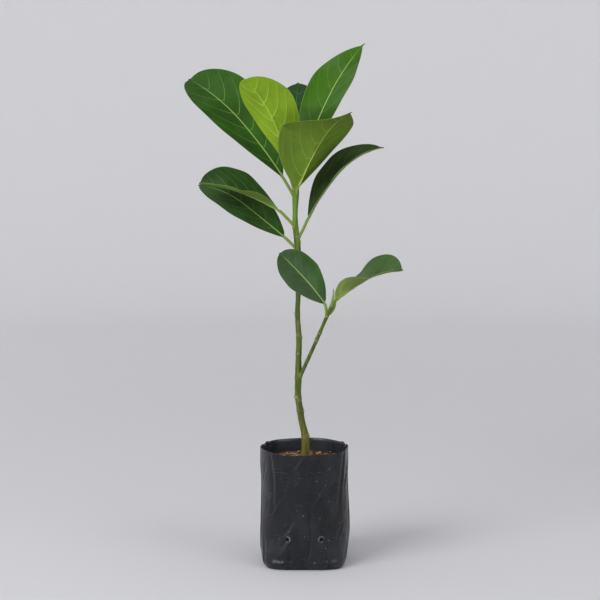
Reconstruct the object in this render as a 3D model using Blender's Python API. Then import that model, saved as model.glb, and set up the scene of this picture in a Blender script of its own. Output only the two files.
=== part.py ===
"""A jackfruit sapling in the black film bag that a nursery grows it in.

Metres, +Z up. The origin is under the middle of the bag, on the surface that it stands on. +X is to
the right of the plant's front, and +Y is to its back. Headings are degrees anticlockwise from +X as
seen from above, and rises are degrees above the level.
"""

import math
import random
from dataclasses import dataclass

import bmesh
import bpy
import numpy as np
from mathutils import Matrix, Vector

GAP = 0.0003  # between solids that meet

# The bag is a gusseted film tube that lies 150 mm wide when it is flat.
BAG_LAY_FLAT = 0.150
BAG_RADIUS = BAG_LAY_FLAT / math.pi
BAG_HEIGHT = 0.1245
BAG_WALL = 0.0010
BAG_SIDES = 36
RIM_WAVER = 0.0006
# Height, then half its width, half its depth and how square it is there.
BAG_PROFILE = (
    (0.000, 0.0415, 0.0385, 4.6),
    (0.004, 0.0440, 0.0420, 4.0),
    (0.012, 0.0458, 0.0450, 3.1),
    (0.024, 0.0468, 0.0464, 2.4),
    (0.038, 0.0475, 0.0472, 2.05),
    (0.060, 0.0471, 0.0469, 2.0),
    (0.085, 0.0462, 0.0462, 2.0),
    (0.110, 0.0466, 0.0466, 2.0),
    (BAG_HEIGHT, 0.0470, 0.0470, 2.0),
)
DRAIN_HEIGHT = 0.0345
DRAIN_RADIUS = 0.0020
DRAIN_BEARINGS = (-112, -68, 0, 68, 112, 180)

SOIL_LEVEL = 0.1115
SOIL_LUMP = 0.0012
SOIL_PAD = 0.0075
SOIL_INSET = BAG_WALL + 0.0010  # clear of the film, whose corners it rounds off

TRUNK_SIDES = 10
TRUNK_STEP = 0.007
BRANCH_SIDES = 8
BRANCH_STEP = 0.008

LEAF_THICKNESS_SHARE = 0.0102  # of the leaf's length, its stalk included
LEAF_SECTIONS = 15
LEAF_ACROSS = 2  # faces from rib to margin
PETIOLE_RADIUS = 0.0017
KNEE = 0.005  # the length in which the stalk turns into the rib
RIB_RADIUS = 0.0013
RIB_TIP_RADIUS = 0.0009


@dataclass(frozen=True)
class Leaf:
    """One leaf, from the stem that bears it to its tip.

    headings and rises are those of its line at the stem, at the end of the stalk, at the foot of
    the blade, half way along the blade and at the tip. rolls turn the blade about that line, and
    folds lift its left and right halves, each at the foot, half way and at the tip. curls bend
    each half from rib to margin.
    """

    name: str
    height: float
    petiole: float
    blade: float
    widths: tuple
    headings: tuple
    rises: tuple
    rolls: tuple
    left_folds: tuple
    right_folds: tuple
    curls: tuple = (10, 10)
    widest: float = 0.58
    foot_power: float = 1.15
    tip_powers: tuple = (0.62, 0.62)
    point: float = 0.018
    wave: float = 0.0012
    on_branch: bool = False


LEAVES = (
    Leaf("leaf_lowest_left", 0.334, 0.019, 0.117, (0.0285, 0.0285),
         (175, 165, 158, 158, 155), (48, 42, 37, 35, 4), (-26, -26, -26),
         (2, 2, 2), (2, 2, 2), foot_power=0.85),
    Leaf("leaf_middle_right", 0.345, 0.024, 0.115, (0.028, 0.028),
         (0, 0, 5, 5, 5), (58, 68, 62, 50, 10), (16, 11, 10),
         (30, 18, 12), (19, 14, 11), point=0.030),
    Leaf("leaf_middle_left", 0.359, 0.023, 0.091, (0.0265, 0.0265),
         (180, 180, 180, 180, 180), (46, 46, 32, 20, 4), (7, -22, -25),
         (36, 25, 25), (36, 25, 25), widest=0.66, tip_powers=(0.5, 0.5)),
    Leaf("leaf_upper_left", 0.388, 0.025, 0.161, (0.036, 0.037),
         (165, 156, 150, 150, 148), (61, 56, 53, 44, 23), (-34, -34, -34),
         (14, 14, 14), (14, 14, 14), foot_power=1.0, widest=0.65, tip_powers=(0.45, 0.40)),
    Leaf("leaf_upper_right", 0.389, 0.035, 0.156, (0.031, 0.0275),
         (35, 42, 42, 38, 35), (76, 75, 68, 58, 42), (10, 10, 10),
         (8, 8, 8), (7, 7, 7), foot_power=1.1, widest=0.62, tip_powers=(0.75, 0.85), point=0.030),
    Leaf("leaf_back", 0.395, 0.031, 0.113, (0.030, 0.030),
         (105, 95, 86, 86, 86), (62, 60, 68, 50, 40), (0, 0, 0),
         (-12, -12, -8), (-2, 0, 5)),
    Leaf("leaf_young", 0.392, 0.032, 0.112, (0.0295, 0.0295),
         (215, 215, 225, 225, 225), (70, 74, 75, 56, 34), (21, 21, 21),
         (15, 15, 15), (15, 15, 15), foot_power=1.0, widest=0.62, tip_powers=(0.55, 0.55), point=0.015),
    Leaf("leaf_front", 0.386, 0.014, 0.120, (0.037, 0.043),
         (-60, -60, -46, -50, -52), (75, 72, 61, 48, 16), (-10, -10, -10),
         (20, 14, -5), (25, 20, -35), foot_power=0.8, widest=0.52, tip_powers=(0.95, 1.0), point=0.030),
    Leaf("leaf_branch_left", 0.0815, 0.013, 0.072, (0.0275, 0.0210),
         (110, 140, 172, 172, 172), (85, 75, 54, 47, 42), (-38, -38, -38),
         (3, 3, 3), (20, 20, 20), foot_power=0.85, widest=0.60, tip_powers=(0.5, 0.42),
         point=0.015, on_branch=True),
    Leaf("leaf_branch_right", 0.0840, 0.017, 0.080, (0.027, 0.028),
         (5, 0, 5, 5, 5), (28, 88, 38, 29, -2), (-45, 8, 28),
         (40, 2, 26), (50, 12, 24), foot_power=0.75, widest=0.70, tip_powers=(0.42, 0.42),
         on_branch=True),
)

# Height above the surface, leaning in x and y, and radius.
TRUNK_COURSE = (
    (SOIL_LEVEL + GAP, 0.0015, 0.000, 0.0049),
    (0.122, 0.0013, 0.000, 0.0044),
    (0.135, 0.0010, 0.000, 0.0041),
    (0.151, -0.0025, 0.001, 0.0036),
    (0.164, -0.0046, 0.002, 0.0036),
    (0.179, -0.0066, 0.002, 0.0034),
    (0.198, -0.0063, 0.002, 0.0036),
    (0.218, -0.0062, 0.001, 0.0032),
    (0.239, -0.0056, 0.001, 0.0030),
    (0.266, -0.0072, 0.002, 0.0026),
    (0.285, -0.0066, 0.002, 0.0026),
    (0.311, -0.0067, 0.001, 0.0029),
    (0.340, -0.0072, 0.000, 0.0032),
    (0.360, -0.0094, 0.000, 0.0030),
    (0.377, -0.0096, 0.000, 0.0028),
    (0.392, -0.0092, 0.000, 0.0035),
    (0.404, -0.0090, 0.000, 0.0028),
    (0.410, -0.0090, 0.000, 0.0009),
)
# Where old leaves left a ring: height, the bearing of its scar, and how far the scar stands out.
TRUNK_NODES = ((0.136, 20, 0.0008), (0.163, 10, 0.0009), (0.178, 190, 0.0010), (0.199, 185, 0.0006),
               (0.225, 250, 0.0005), (0.242, 0, 0.0007), (0.267, 180, 0.0008), (0.334, 180, 0.0007),
               (0.344, 0, 0.0007), (0.359, 180, 0.0007))

BRANCH_HEIGHT = 0.196
BRANCH_LENGTH = 0.094
BRANCH_HEADINGS = (-40, -44)
BRANCH_RISES = (60, 62)
BRANCH_RADII = (0.0021, 0.0018)
BRANCH_NODES = (0.052, 0.061, 0.0825)
BUD_LENGTH = 0.020
FRESH_LEAVES = ("leaf_young", "leaf_front")


def smooth(t):
    """0 to 1 with a level start and end."""
    t = np.clip(t, 0, 1)
    return t * t * (3 - 2 * t)


def spline(stations, at):
    """A natural cubic's columns at these distances. The stations' first column is the distance."""
    table = np.array(stations, float)
    x, y = table[:, 0], table[:, 1:]
    n = len(x)
    h = np.diff(x)
    system = np.zeros((n, n))
    right = np.zeros((n, y.shape[1]))
    system[0, 0] = system[-1, -1] = 1
    for i in range(1, n - 1):
        system[i, i - 1:i + 2] = h[i - 1], 2 * (h[i - 1] + h[i]), h[i]
        right[i] = 6 * ((y[i + 1] - y[i]) / h[i] - (y[i] - y[i - 1]) / h[i - 1])
    bend = np.linalg.solve(system, right)
    at = np.asarray(at, float)
    i = np.clip(np.searchsorted(x, at, side="right") - 1, 0, n - 2)
    a = ((x[i + 1] - at) / h[i])[:, None]
    b = ((at - x[i]) / h[i])[:, None]
    hi = h[i][:, None]
    return (a * y[i] + b * y[i + 1]
            + ((a ** 3 - a) * bend[i] + (b ** 3 - b) * bend[i + 1]) * hi ** 2 / 6)


def direction(heading, rise):
    """Unit vectors from angles in degrees."""
    heading, rise = np.radians(heading), np.radians(rise)
    return np.stack([np.cos(rise) * np.cos(heading), np.cos(rise) * np.sin(heading), np.sin(rise)], -1)


def walk(start, stations, at):
    """Points, headings and rises of a line that turns through (distance, heading, rise) stations."""
    table = np.array(stations, float)
    fine = np.linspace(0, table[-1, 0], 400)
    heading = np.interp(fine, table[:, 0], table[:, 1])
    rise = np.interp(fine, table[:, 0], table[:, 2])
    way = direction(heading, rise)
    step = (way[1:] + way[:-1]) / 2 * np.diff(fine)[:, None]
    line = np.vstack([np.zeros(3), np.cumsum(step, 0)]) + np.array(start)
    points = np.stack([np.interp(at, fine, line[:, k]) for k in range(3)], 1)
    return points, np.interp(at, fine, heading), np.interp(at, fine, rise)


def trunk_line(height):
    """Centres (n, 3) and radii (n,) of the trunk at these heights."""
    height = np.atleast_1d(np.asarray(height, float))
    found = spline(TRUNK_COURSE, height)
    return np.column_stack([found[:, 0], found[:, 1], height]), found[:, 2]


def branch_line(along):
    """Centres (n, 3) and radii (n,) of the side branch at these distances from the trunk's middle."""
    along = np.atleast_1d(np.asarray(along, float))
    start = trunk_line(BRANCH_HEIGHT)[0][0]
    stations = ((0, BRANCH_HEADINGS[0], BRANCH_RISES[0]),
                (BRANCH_LENGTH, BRANCH_HEADINGS[1], BRANCH_RISES[1]))
    centres, _, _ = walk(start, stations, along)
    return centres, np.interp(along, (0, BRANCH_LENGTH), BRANCH_RADII)


def half_width(leaf, share, right=False):
    """The left or right half's width at shares of the blade, from its wedge foot to its point."""
    share = np.asarray(share, float)
    body = np.clip(share / (1 - leaf.point), 0, 1)
    before = np.sin(np.pi / 2 * np.clip(body / leaf.widest, 0, 1)) ** leaf.foot_power
    after = np.cos(np.pi / 2 * np.clip((body - leaf.widest) / (1 - leaf.widest), 0, 1)) ** leaf.tip_powers[right]
    lobe = np.where(body < leaf.widest, before, after) * leaf.widths[right]
    drip = 0.0016 - 0.0009 * np.clip((share - (1 - leaf.point)) / leaf.point, 0, 1)
    return (lobe ** 3 + np.where(share > 0.5, drip, 0.0007) ** 3) ** (1 / 3)


def three(values, share):
    """A quantity given at the foot, half way and at the tip, at shares of the blade."""
    return np.interp(share, (0, 0.5, 1), values)


def blade_stations(leaf, count):
    """Shares of the blade's length where it has a section, closer where its end rounds off."""
    body = 1 - leaf.point
    turn = leaf.widest * body
    first = np.linspace(0, turn, round(count * 0.5), endpoint=False)
    rest = turn + (body - turn) * np.sin(np.pi / 2 * np.linspace(0, 1, count - len(first) - 1))
    return np.concatenate([first, rest[:-1], [body + leaf.point * 0.15, 1]])


def blade_section(leaf, share, across, thickness):
    """One closed loop round the leaf, as (to its left, above it) in the plane across its line.

    The loop runs over the top from the right margin to the left one, and back under the rib.
    """
    half = float(half_width(leaf, share))
    right_half = float(half_width(leaf, share, True))
    rib = float(np.interp(share, (0, 1), (RIB_RADIUS, RIB_TIP_RADIUS)))
    rib = min(rib, half + 0.0004)
    side = np.linspace(0, 1, across + 1)
    wave = leaf.wave * math.sin(2 * math.pi * (3.2 * share + 0.17)) * (half / leaf.widths[0]) ** 2
    halves = []
    for sign, half, folds, curl, flip in ((1, half, leaf.left_folds, leaf.curls[0], 1),
                                          (-1, right_half, leaf.right_folds, leaf.curls[1], -1)):
        fold = math.radians(float(three(folds, share)))
        curl = math.radians(curl) or 1e-6
        x = half * (np.sin(fold + curl * side) - math.sin(fold)) / curl
        y = half * (math.cos(fold) - np.cos(fold + curl * side)) / curl + flip * wave * side ** 2
        nx, ny = -np.sin(fold + curl * side), np.cos(fold + curl * side)
        halves.append((sign * x, y, sign * nx, ny))
    (lx, ly, lnx, lny), (rx, ry, rnx, rny) = halves
    up = thickness / 2
    top = ([(rx[i] + rnx[i] * up, ry[i] + rny[i] * up) for i in range(across, 0, -1)]
           + [(0.0, up * 0.8)]
           + [(lx[i] + lnx[i] * up, ly[i] + lny[i] * up) for i in range(1, across + 1)])
    under_left = [(lx[i] - lnx[i] * up, ly[i] - lny[i] * up) for i in range(across, 0, -1)]
    under_right = [(rx[i] - rnx[i] * up, ry[i] - rny[i] * up) for i in range(1, across + 1)]
    foot_left = float(np.interp(min(rib / max(half, 1e-9), 1), side, ly))
    foot_right = float(np.interp(min(rib / max(half, 1e-9), 1), side, ry))
    keel = [(rib, foot_left - up), (rib * 0.6, -up - rib * 0.8), (0.0, -up - rib * 1.1),
            (-rib * 0.6, -up - rib * 0.8), (-rib, foot_right - up)]
    return np.array(top + under_left + keel + under_right)


def round_section(radius, across):
    """The petiole's loop, with as many points as blade_section's and in the same order."""
    top = np.linspace(-20, 200, 2 * across + 1)
    under = np.linspace(200, 340, 2 * across + 7)[1:-1]
    angle = np.radians(np.concatenate([top, under]))
    return radius * np.stack([np.cos(angle) * -1, np.sin(angle)], 1)


def stalk_radius(leaf, distance):
    """The stalk's radius: slim inside the stem, swollen where it leaves it."""
    buried = 0.45 + 0.55 * smooth(distance / 0.0024)
    swollen = 1 + 0.22 * (1 - smooth(distance / leaf.petiole / 0.5))
    return PETIOLE_RADIUS * buried * swollen


def leaf_line(leaf):
    """Where the leaf's line starts, and its stations."""
    start = (branch_line if leaf.on_branch else trunk_line)(leaf.height)[0][0]
    foot = leaf.petiole
    distances = (0, foot - KNEE / 2, foot + KNEE / 2, foot + leaf.blade / 2, foot + leaf.blade)
    return start, tuple(zip(distances, leaf.headings, leaf.rises))


def leaf_loops(leaf, count, across, thickness):
    """The leaf's sections in space, (sections, points, 3), from inside its stem to its tip."""
    start, stations = leaf_line(leaf)
    shares = blade_stations(leaf, count)
    outer = np.linspace(0.0024, leaf.petiole, max(4, count // 4), endpoint=False)
    stalk = np.concatenate([(0.0, 0.0012), outer])
    at = np.concatenate([stalk, leaf.petiole + shares * leaf.blade])
    centres, headings, rises = walk(start, stations, at)
    loops = []
    for i, distance in enumerate(at):
        share = max(0.0, (distance - leaf.petiole) / leaf.blade)
        joined = smooth(share / 0.05) if distance >= leaf.petiole else 0.0
        radius = stalk_radius(leaf, distance)
        plane = ((1 - joined) * round_section(radius, across)
                 + joined * blade_section(leaf, share, across, thickness))
        heading, roll = math.radians(headings[i]), math.radians(float(three(leaf.rolls, share)))
        way = direction(headings[i], rises[i])
        level = np.array([-math.sin(heading), math.cos(heading), 0.0])
        upright = np.cross(way, level)
        left = math.cos(roll) * level + math.sin(roll) * upright
        above = -math.sin(roll) * level + math.cos(roll) * upright
        loops.append(centres[i] + plane[:, :1] * left + plane[:, 1:] * above)
    return np.array(loops)


def plane_angles(sides):
    """Angles round a vertical axis, anticlockwise from +X."""
    return np.linspace(0, 2 * math.pi, sides, endpoint=False)


def ring_swelling(height, bearing):
    """How far the trunk stands out at a height, (n,) for bearings in radians, where leaves once grew."""
    out = np.zeros(len(bearing))
    for level, scar, rise in TRUNK_NODES:
        near = math.exp(-((height - level) / 0.0024) ** 2)
        out += rise * near * (0.35 + 0.65 * np.clip(np.cos(bearing - math.radians(scar)), 0, 1) ** 2)
    return out


def root_flare(height, bearing):
    """Three soft ridges where the roots run into the foot of the trunk."""
    near = math.exp(-(height - SOIL_LEVEL) / 0.007)
    return 0.0007 * near * np.cos(3 * bearing + 0.6)


def trunk_loops(sides, step, grow=0.0):
    """Level rings up the trunk to its tip, each point grown outwards by the same amount."""
    low, high = TRUNK_COURSE[0][0], TRUNK_COURSE[-1][0]
    heights = np.linspace(low, high, max(8, round((high - low) / step)))
    centres, radii = trunk_line(heights)
    bearing = plane_angles(sides)
    loops = []
    for centre, radius in zip(centres, radii):
        reach = radius + ring_swelling(centre[2], bearing) + root_flare(centre[2], bearing) + grow
        ring = reach[:, None] * direction(np.degrees(bearing), np.zeros(sides))
        loops.append(centre + ring)
    return np.array(loops)


def tube_loops(centres, radii, sides):
    """Rings square to a line of centres."""
    bearing = plane_angles(sides)
    ways = np.gradient(centres, axis=0)
    ways /= np.linalg.norm(ways, axis=1)[:, None]
    loops = []
    for centre, radius, way in zip(centres, radii, ways):
        side = np.cross(way, (0.0, 1.0, 0.0))
        side /= np.linalg.norm(side)
        other = np.cross(way, side)
        ring = np.cos(bearing)[:, None] * side + np.sin(bearing)[:, None] * other
        loops.append(centre + radius * ring)
    return np.array(loops)


def branch_loops(sides, step, grow=0.0):
    """Rings along the side branch from the trunk's middle."""
    along = np.linspace(0, BRANCH_LENGTH, round(BRANCH_LENGTH / step))
    centres, radii = branch_line(along)
    swelling = sum(0.0004 * np.exp(-((along - level) / 0.002) ** 2) for level in BRANCH_NODES)
    return tube_loops(centres, radii + swelling + grow, sides)


def bud_loops(sides, count, grow=0.0):
    """The closed bud that ends the branch, as a sheath that narrows to a point."""
    foot = branch_line(BRANCH_LENGTH)[0][0]
    back = branch_line(BRANCH_LENGTH - 0.001)[0][0]
    way = (foot - back) / np.linalg.norm(foot - back)
    start = foot + way * (GAP - 2 * grow)
    heading = math.degrees(math.atan2(way[1], way[0]))
    rise = math.degrees(math.asin(way[2]))
    share = np.linspace(0, 1, count)
    stations = ((0, heading, rise), (BUD_LENGTH * 0.5, heading + 20, 84), (BUD_LENGTH, 120, 88))
    centres, _, _ = walk(start, stations, share * BUD_LENGTH)
    radii = BRANCH_RADII[1] * np.interp(share, (0, 0.25, 0.5, 1), (0.95, 0.80, 0.75, 0.25))
    return tube_loops(centres, radii + grow, sides)


def bag_reach(height, bearing, inset=0.0):
    """How far the bag reaches at bearings in radians: square at its foot, round above."""
    height = max(0.0, height - inset * 0.5)
    widths, depths, corners = (float(v[0]) for v in np.split(spline(BAG_PROFILE, [height])[0], 3))
    across, deep = widths - inset, depths - inset
    reach = ((np.abs(np.cos(bearing)) / across) ** corners
             + (np.abs(np.sin(bearing)) / deep) ** corners) ** (-1 / corners)
    ripple = 0.0005 * np.cos(3 * bearing + 1.0) + 0.0003 * np.cos(7 * bearing + 0.4 + 30 * height)
    return reach + ripple * float(smooth(height / 0.04))


def bag_loop(height, sides, inset=0.0, wavy=0.0):
    """One ring round the bag, whose height wavers by wavy as its cut rim does."""
    bearing = plane_angles(sides)
    reach = bag_reach(height, bearing, inset)
    level = height + wavy * (0.6 * np.sin(2 * bearing + 0.8) + 0.4 * np.sin(5 * bearing + 2.0))
    return np.stack([reach * np.cos(bearing), reach * np.sin(bearing), level], 1)


def bag_heights(top):
    """Heights of the bag's rings, close together where its foot turns out."""
    return np.concatenate([(0.0, 0.0022, 0.006, 0.012, 0.021), np.linspace(0.034, top, 6)])


def bag_loops(sides):
    """Up the outside of the bag and down its inside."""
    outside = []
    inside = []
    for z in bag_heights(BAG_HEIGHT):
        wavy = RIM_WAVER * (z > 0.1)
        outside.append(bag_loop(z, sides, wavy=wavy))
        inside.append(bag_loop(max(z, BAG_WALL), sides, BAG_WALL, wavy))
    return np.array(outside + inside[::-1])


def soil_loops(sides):
    """Up the side of the potting mix and in over its lumpy top, to a level pad under the trunk."""
    heights = bag_heights(SOIL_LEVEL - SOIL_LUMP)
    side = [bag_loop(max(z, BAG_WALL + GAP), sides, SOIL_INSET) for z in heights]
    lumps = random.Random(7)
    bearing = plane_angles(sides)
    edge = np.linalg.norm(side[-1][:, :2], axis=1)
    middle = trunk_line(TRUNK_COURSE[0][0])[0][0]
    top = []
    for share in (0.86, 0.68, 0.50, 0.34):
        reach = edge * share
        level = SOIL_LEVEL + np.array([lumps.uniform(-1, 1) for _ in bearing]) * SOIL_LUMP
        across = middle[0] * (1 - share) + reach * np.cos(bearing)
        top.append(np.stack([across, reach * np.sin(bearing), level], 1))
    pad = SOIL_PAD * np.stack([np.cos(bearing), np.sin(bearing)], 1) + middle[:2]
    top.append(np.column_stack([pad, np.full(sides, SOIL_LEVEL)]))
    return np.array(side + top)


def material(name, colour, roughness, metallic=0.0):
    """A plain finish."""
    found = bpy.data.materials.new(name)
    found.use_nodes = True
    shader = found.node_tree.nodes["Principled BSDF"]
    shader.inputs["Base Color"].default_value = (*colour, 1)
    shader.inputs["Roughness"].default_value = roughness
    shader.inputs["Metallic"].default_value = metallic
    found.diffuse_color = (*colour, 1)
    return found


def place(name, mesh_edit, finish):
    """An object in the scene whose mesh is this bmesh."""
    bmesh.ops.recalc_face_normals(mesh_edit, faces=mesh_edit.faces)
    mesh = bpy.data.meshes.new(name)
    mesh_edit.to_mesh(mesh)
    mesh_edit.free()
    if finish:
        mesh.materials.append(finish)
    mesh.shade_smooth()
    mesh.set_sharp_from_angle(angle=math.radians(40))
    made = bpy.data.objects.new(name, mesh)
    bpy.context.scene.collection.objects.link(made)
    return made


def loft(name, loops, finish=None):
    """A closed solid through rings of equal point counts, with a flat cap on its first and last ring."""
    mesh_edit = bmesh.new()
    rings = [[mesh_edit.verts.new(Vector(point)) for point in loop] for loop in loops]
    count = len(rings[0])
    for low, high in zip(rings, rings[1:]):
        for i in range(count):
            after = (i + 1) % count
            mesh_edit.faces.new((low[i], low[after], high[after], high[i]))
    mesh_edit.faces.new(rings[0][::-1])
    mesh_edit.faces.new(rings[-1])
    return place(name, mesh_edit, finish)


def guide(made):
    """Keeps a cutter out of the model."""
    made.hide_render = True
    made.display_type = "WIRE"
    return made


def cut(made, cutter):
    """Takes a cutter's space out of an object."""
    trim = made.modifiers.new("cut_" + cutter.name, "BOOLEAN")
    trim.operation = "DIFFERENCE"
    trim.object = cutter


def drain_cutters():
    """Pegs through the bag's side at each drain hole."""
    mesh_edit = bmesh.new()
    for bearing in DRAIN_BEARINGS:
        turn = Matrix.Rotation(math.radians(bearing), 4, "Z")
        place_at = Matrix.Translation((BAG_RADIUS, 0, DRAIN_HEIGHT))
        lay = Matrix.Rotation(math.pi / 2, 4, "Y")
        bmesh.ops.create_cone(mesh_edit, cap_ends=True, segments=12, radius1=DRAIN_RADIUS,
                              radius2=DRAIN_RADIUS, depth=0.012, matrix=turn @ place_at @ lay)
    return guide(place("drain_cutters", mesh_edit, None))


def build_pot(film, mix):
    """The bag with its drain holes, and the potting mix that fills it."""
    bag = loft("grow_bag", bag_loops(BAG_SIDES), film)
    cut(bag, drain_cutters())
    loft("potting_mix", soil_loops(BAG_SIDES), mix)


def build_limbs(bark, green):
    """The trunk, its side branch and the bud on that. Returns the spaces that their leaves stay out of."""
    loft("trunk", trunk_loops(TRUNK_SIDES, TRUNK_STEP), bark)
    trunk_clearance = guide(loft("trunk_clearance", trunk_loops(TRUNK_SIDES, TRUNK_STEP, GAP)))
    branch = loft("side_branch", branch_loops(BRANCH_SIDES, BRANCH_STEP), bark)
    cut(branch, trunk_clearance)
    branch_clearance = guide(loft("branch_clearance", branch_loops(BRANCH_SIDES, BRANCH_STEP, GAP)))
    loft("branch_bud", bud_loops(8, 8), green)
    bud_clearance = guide(loft("bud_clearance", bud_loops(8, 8, GAP)))
    return (trunk_clearance,), (branch_clearance, bud_clearance)


def build_leaf(leaf, clearances, finish):
    """One leaf, cut off where its stalk meets its stem."""
    thickness = LEAF_THICKNESS_SHARE * (leaf.petiole + leaf.blade)
    made = loft(leaf.name, leaf_loops(leaf, LEAF_SECTIONS, LEAF_ACROSS, thickness), finish)
    for clearance in clearances[leaf.on_branch]:
        cut(made, clearance)


def main():
    for old in list(bpy.data.objects):
        bpy.data.objects.remove(old)
    film = material("black_film", (0.022, 0.024, 0.028), 0.32)
    mix = material("coir_mix", (0.20, 0.085, 0.035), 0.95)
    bark = material("young_bark", (0.115, 0.125, 0.030), 0.55)
    sheath = material("green_sheath", (0.18, 0.26, 0.05), 0.45)
    grown = material("grown_leaf", (0.022, 0.085, 0.018), 0.35)
    fresh = material("fresh_leaf", (0.130, 0.230, 0.025), 0.42)
    build_pot(film, mix)
    clearances = build_limbs(bark, sheath)
    for leaf in LEAVES:
        build_leaf(leaf, clearances, fresh if leaf.name in FRESH_LEAVES else grown)


if __name__ == "__main__":
    main()
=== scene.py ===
"""The looks of a potted jackfruit sapling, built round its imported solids.

Metres, +Z up, in the frame of the solids: the origin is under the middle of the bag, +X is to the
right of the plant's front and +Y is to its back. Headings are degrees anticlockwise from +X as seen
from above, and rises are degrees above the level.
"""
import sys
import logging
import math
import random
from dataclasses import dataclass
from enum import Enum

import bmesh
import bpy
import numpy as np
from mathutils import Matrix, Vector


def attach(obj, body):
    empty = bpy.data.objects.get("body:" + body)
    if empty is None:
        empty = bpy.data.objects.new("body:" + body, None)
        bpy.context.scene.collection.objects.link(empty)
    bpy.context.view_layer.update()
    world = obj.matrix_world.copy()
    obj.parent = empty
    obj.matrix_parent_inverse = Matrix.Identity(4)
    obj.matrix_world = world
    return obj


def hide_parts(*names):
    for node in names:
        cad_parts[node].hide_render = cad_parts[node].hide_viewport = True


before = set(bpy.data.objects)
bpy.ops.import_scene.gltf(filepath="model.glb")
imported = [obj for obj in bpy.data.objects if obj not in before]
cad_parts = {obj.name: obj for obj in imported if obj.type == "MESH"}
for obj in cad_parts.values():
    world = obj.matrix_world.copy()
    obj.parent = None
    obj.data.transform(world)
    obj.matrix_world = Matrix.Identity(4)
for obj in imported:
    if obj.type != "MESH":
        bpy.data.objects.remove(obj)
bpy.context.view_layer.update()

LOG = logging.getLogger("sapling")


# Numbers and shapes

def linear(red: float, green: float, blue: float) -> tuple[float, float, float]:
    """Turns display values from 0 to 255 into the linear colour that a shader takes.

    Args:
        red, green, blue: the colour as it shows on a screen.

    Returns:
        The linear red, green and blue, from 0 to 1.
    """
    shares = (value / 255 for value in (red, green, blue))
    return tuple(s / 12.92 if s <= 0.04045 else ((s + 0.055) / 1.055) ** 2.4 for s in shares)


def smooth(share: np.ndarray) -> np.ndarray:
    """Goes from 0 to 1 with a level start and end."""
    share = np.clip(share, 0, 1)
    return share * share * (3 - 2 * share)


def ease(share: float) -> float:
    """Goes from 0 to 1 as smooth does, for one number."""
    return float(smooth(np.array(share)))


def hump(away: np.ndarray, half_width: float) -> np.ndarray:
    """Is 1 where away is 0, and fades on both sides over a half width."""
    return np.exp(-(away / half_width) ** 2)


def degrees_from(line: float, bearing: np.ndarray) -> np.ndarray:
    """Degrees from a line to bearings in degrees, from -180 to 180."""
    return (bearing - line + 180) % 360 - 180


def spline(stations: tuple, at: np.ndarray) -> np.ndarray:
    """Reads a natural cubic through stations.

    Args:
        stations: rows whose first column is the distance.
        at: the distances to read at.

    Returns:
        The other columns at those distances.
    """
    table = np.array(stations, float)
    x, y = table[:, 0], table[:, 1:]
    count = len(x)
    gaps = np.diff(x)
    system = np.zeros((count, count))
    right = np.zeros((count, y.shape[1]))
    system[0, 0] = system[-1, -1] = 1
    for i in range(1, count - 1):
        system[i, i - 1:i + 2] = gaps[i - 1], 2 * (gaps[i - 1] + gaps[i]), gaps[i]
        right[i] = 6 * ((y[i + 1] - y[i]) / gaps[i] - (y[i] - y[i - 1]) / gaps[i - 1])
    bend = np.linalg.solve(system, right)
    at = np.asarray(at, float)
    i = np.clip(np.searchsorted(x, at, side="right") - 1, 0, count - 2)
    a = ((x[i + 1] - at) / gaps[i])[:, None]
    b = ((at - x[i]) / gaps[i])[:, None]
    wide = gaps[i][:, None]
    bowed = (a ** 3 - a) * bend[i] + (b ** 3 - b) * bend[i + 1]
    return a * y[i] + b * y[i + 1] + bowed * wide ** 2 / 6


def direction(heading: np.ndarray, rise: np.ndarray) -> np.ndarray:
    """Unit vectors from angles in degrees."""
    heading, rise = np.radians(heading), np.radians(rise)
    return np.stack([np.cos(rise) * np.cos(heading), np.cos(rise) * np.sin(heading), np.sin(rise)], -1)


def walk(start: np.ndarray, stations: tuple, at: np.ndarray) -> tuple[np.ndarray, np.ndarray, np.ndarray]:
    """Follows a line that turns as it goes.

    Args:
        start: where it starts.
        stations: rows of distance, heading and rise.
        at: the distances to read at.

    Returns:
        Points, headings and rises at those distances.
    """
    table = np.array(stations, float)
    fine = np.linspace(0, table[-1, 0], 400)
    heading = np.interp(fine, table[:, 0], table[:, 1])
    rise = np.interp(fine, table[:, 0], table[:, 2])
    way = direction(heading, rise)
    step = (way[1:] + way[:-1]) / 2 * np.diff(fine)[:, None]
    line = np.vstack([np.zeros(3), np.cumsum(step, 0)]) + np.array(start)
    points = np.stack([np.interp(at, fine, line[:, k]) for k in range(3)], 1)
    return points, np.interp(at, fine, heading), np.interp(at, fine, rise)


def bearings(sides: int) -> np.ndarray:
    """Angles round a vertical axis, anticlockwise from +X."""
    return np.linspace(0, 2 * math.pi, sides, endpoint=False)


def ripples(points: np.ndarray, size: float, seed: int, layers: int = 3) -> np.ndarray:
    """Smooth unevenness in space, from waves that cross each other.

    Args:
        points: where to read it, as rows of x, y and z.
        size: the length of its largest waves.
        seed: picks the waves.
        layers: how many times finer waves are added.

    Returns:
        Values from about -1 to 1.
    """
    pick = np.random.default_rng(seed)
    waves, finer, weaker, calmer = 7, 1.9, 0.55, 1.6
    total = np.zeros(len(points))
    for layer in range(layers):
        ways = pick.normal(size=(waves, 3))
        ways /= np.linalg.norm(ways, axis=1)[:, None]
        turn = points @ ways.T * (2 * math.pi / size * finer ** layer) + pick.uniform(0, 2 * math.pi, waves)
        total += np.sin(turn).sum(1) / waves ** 0.5 * weaker ** layer
    return total / calmer


# The frame of the shader expressions

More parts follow.
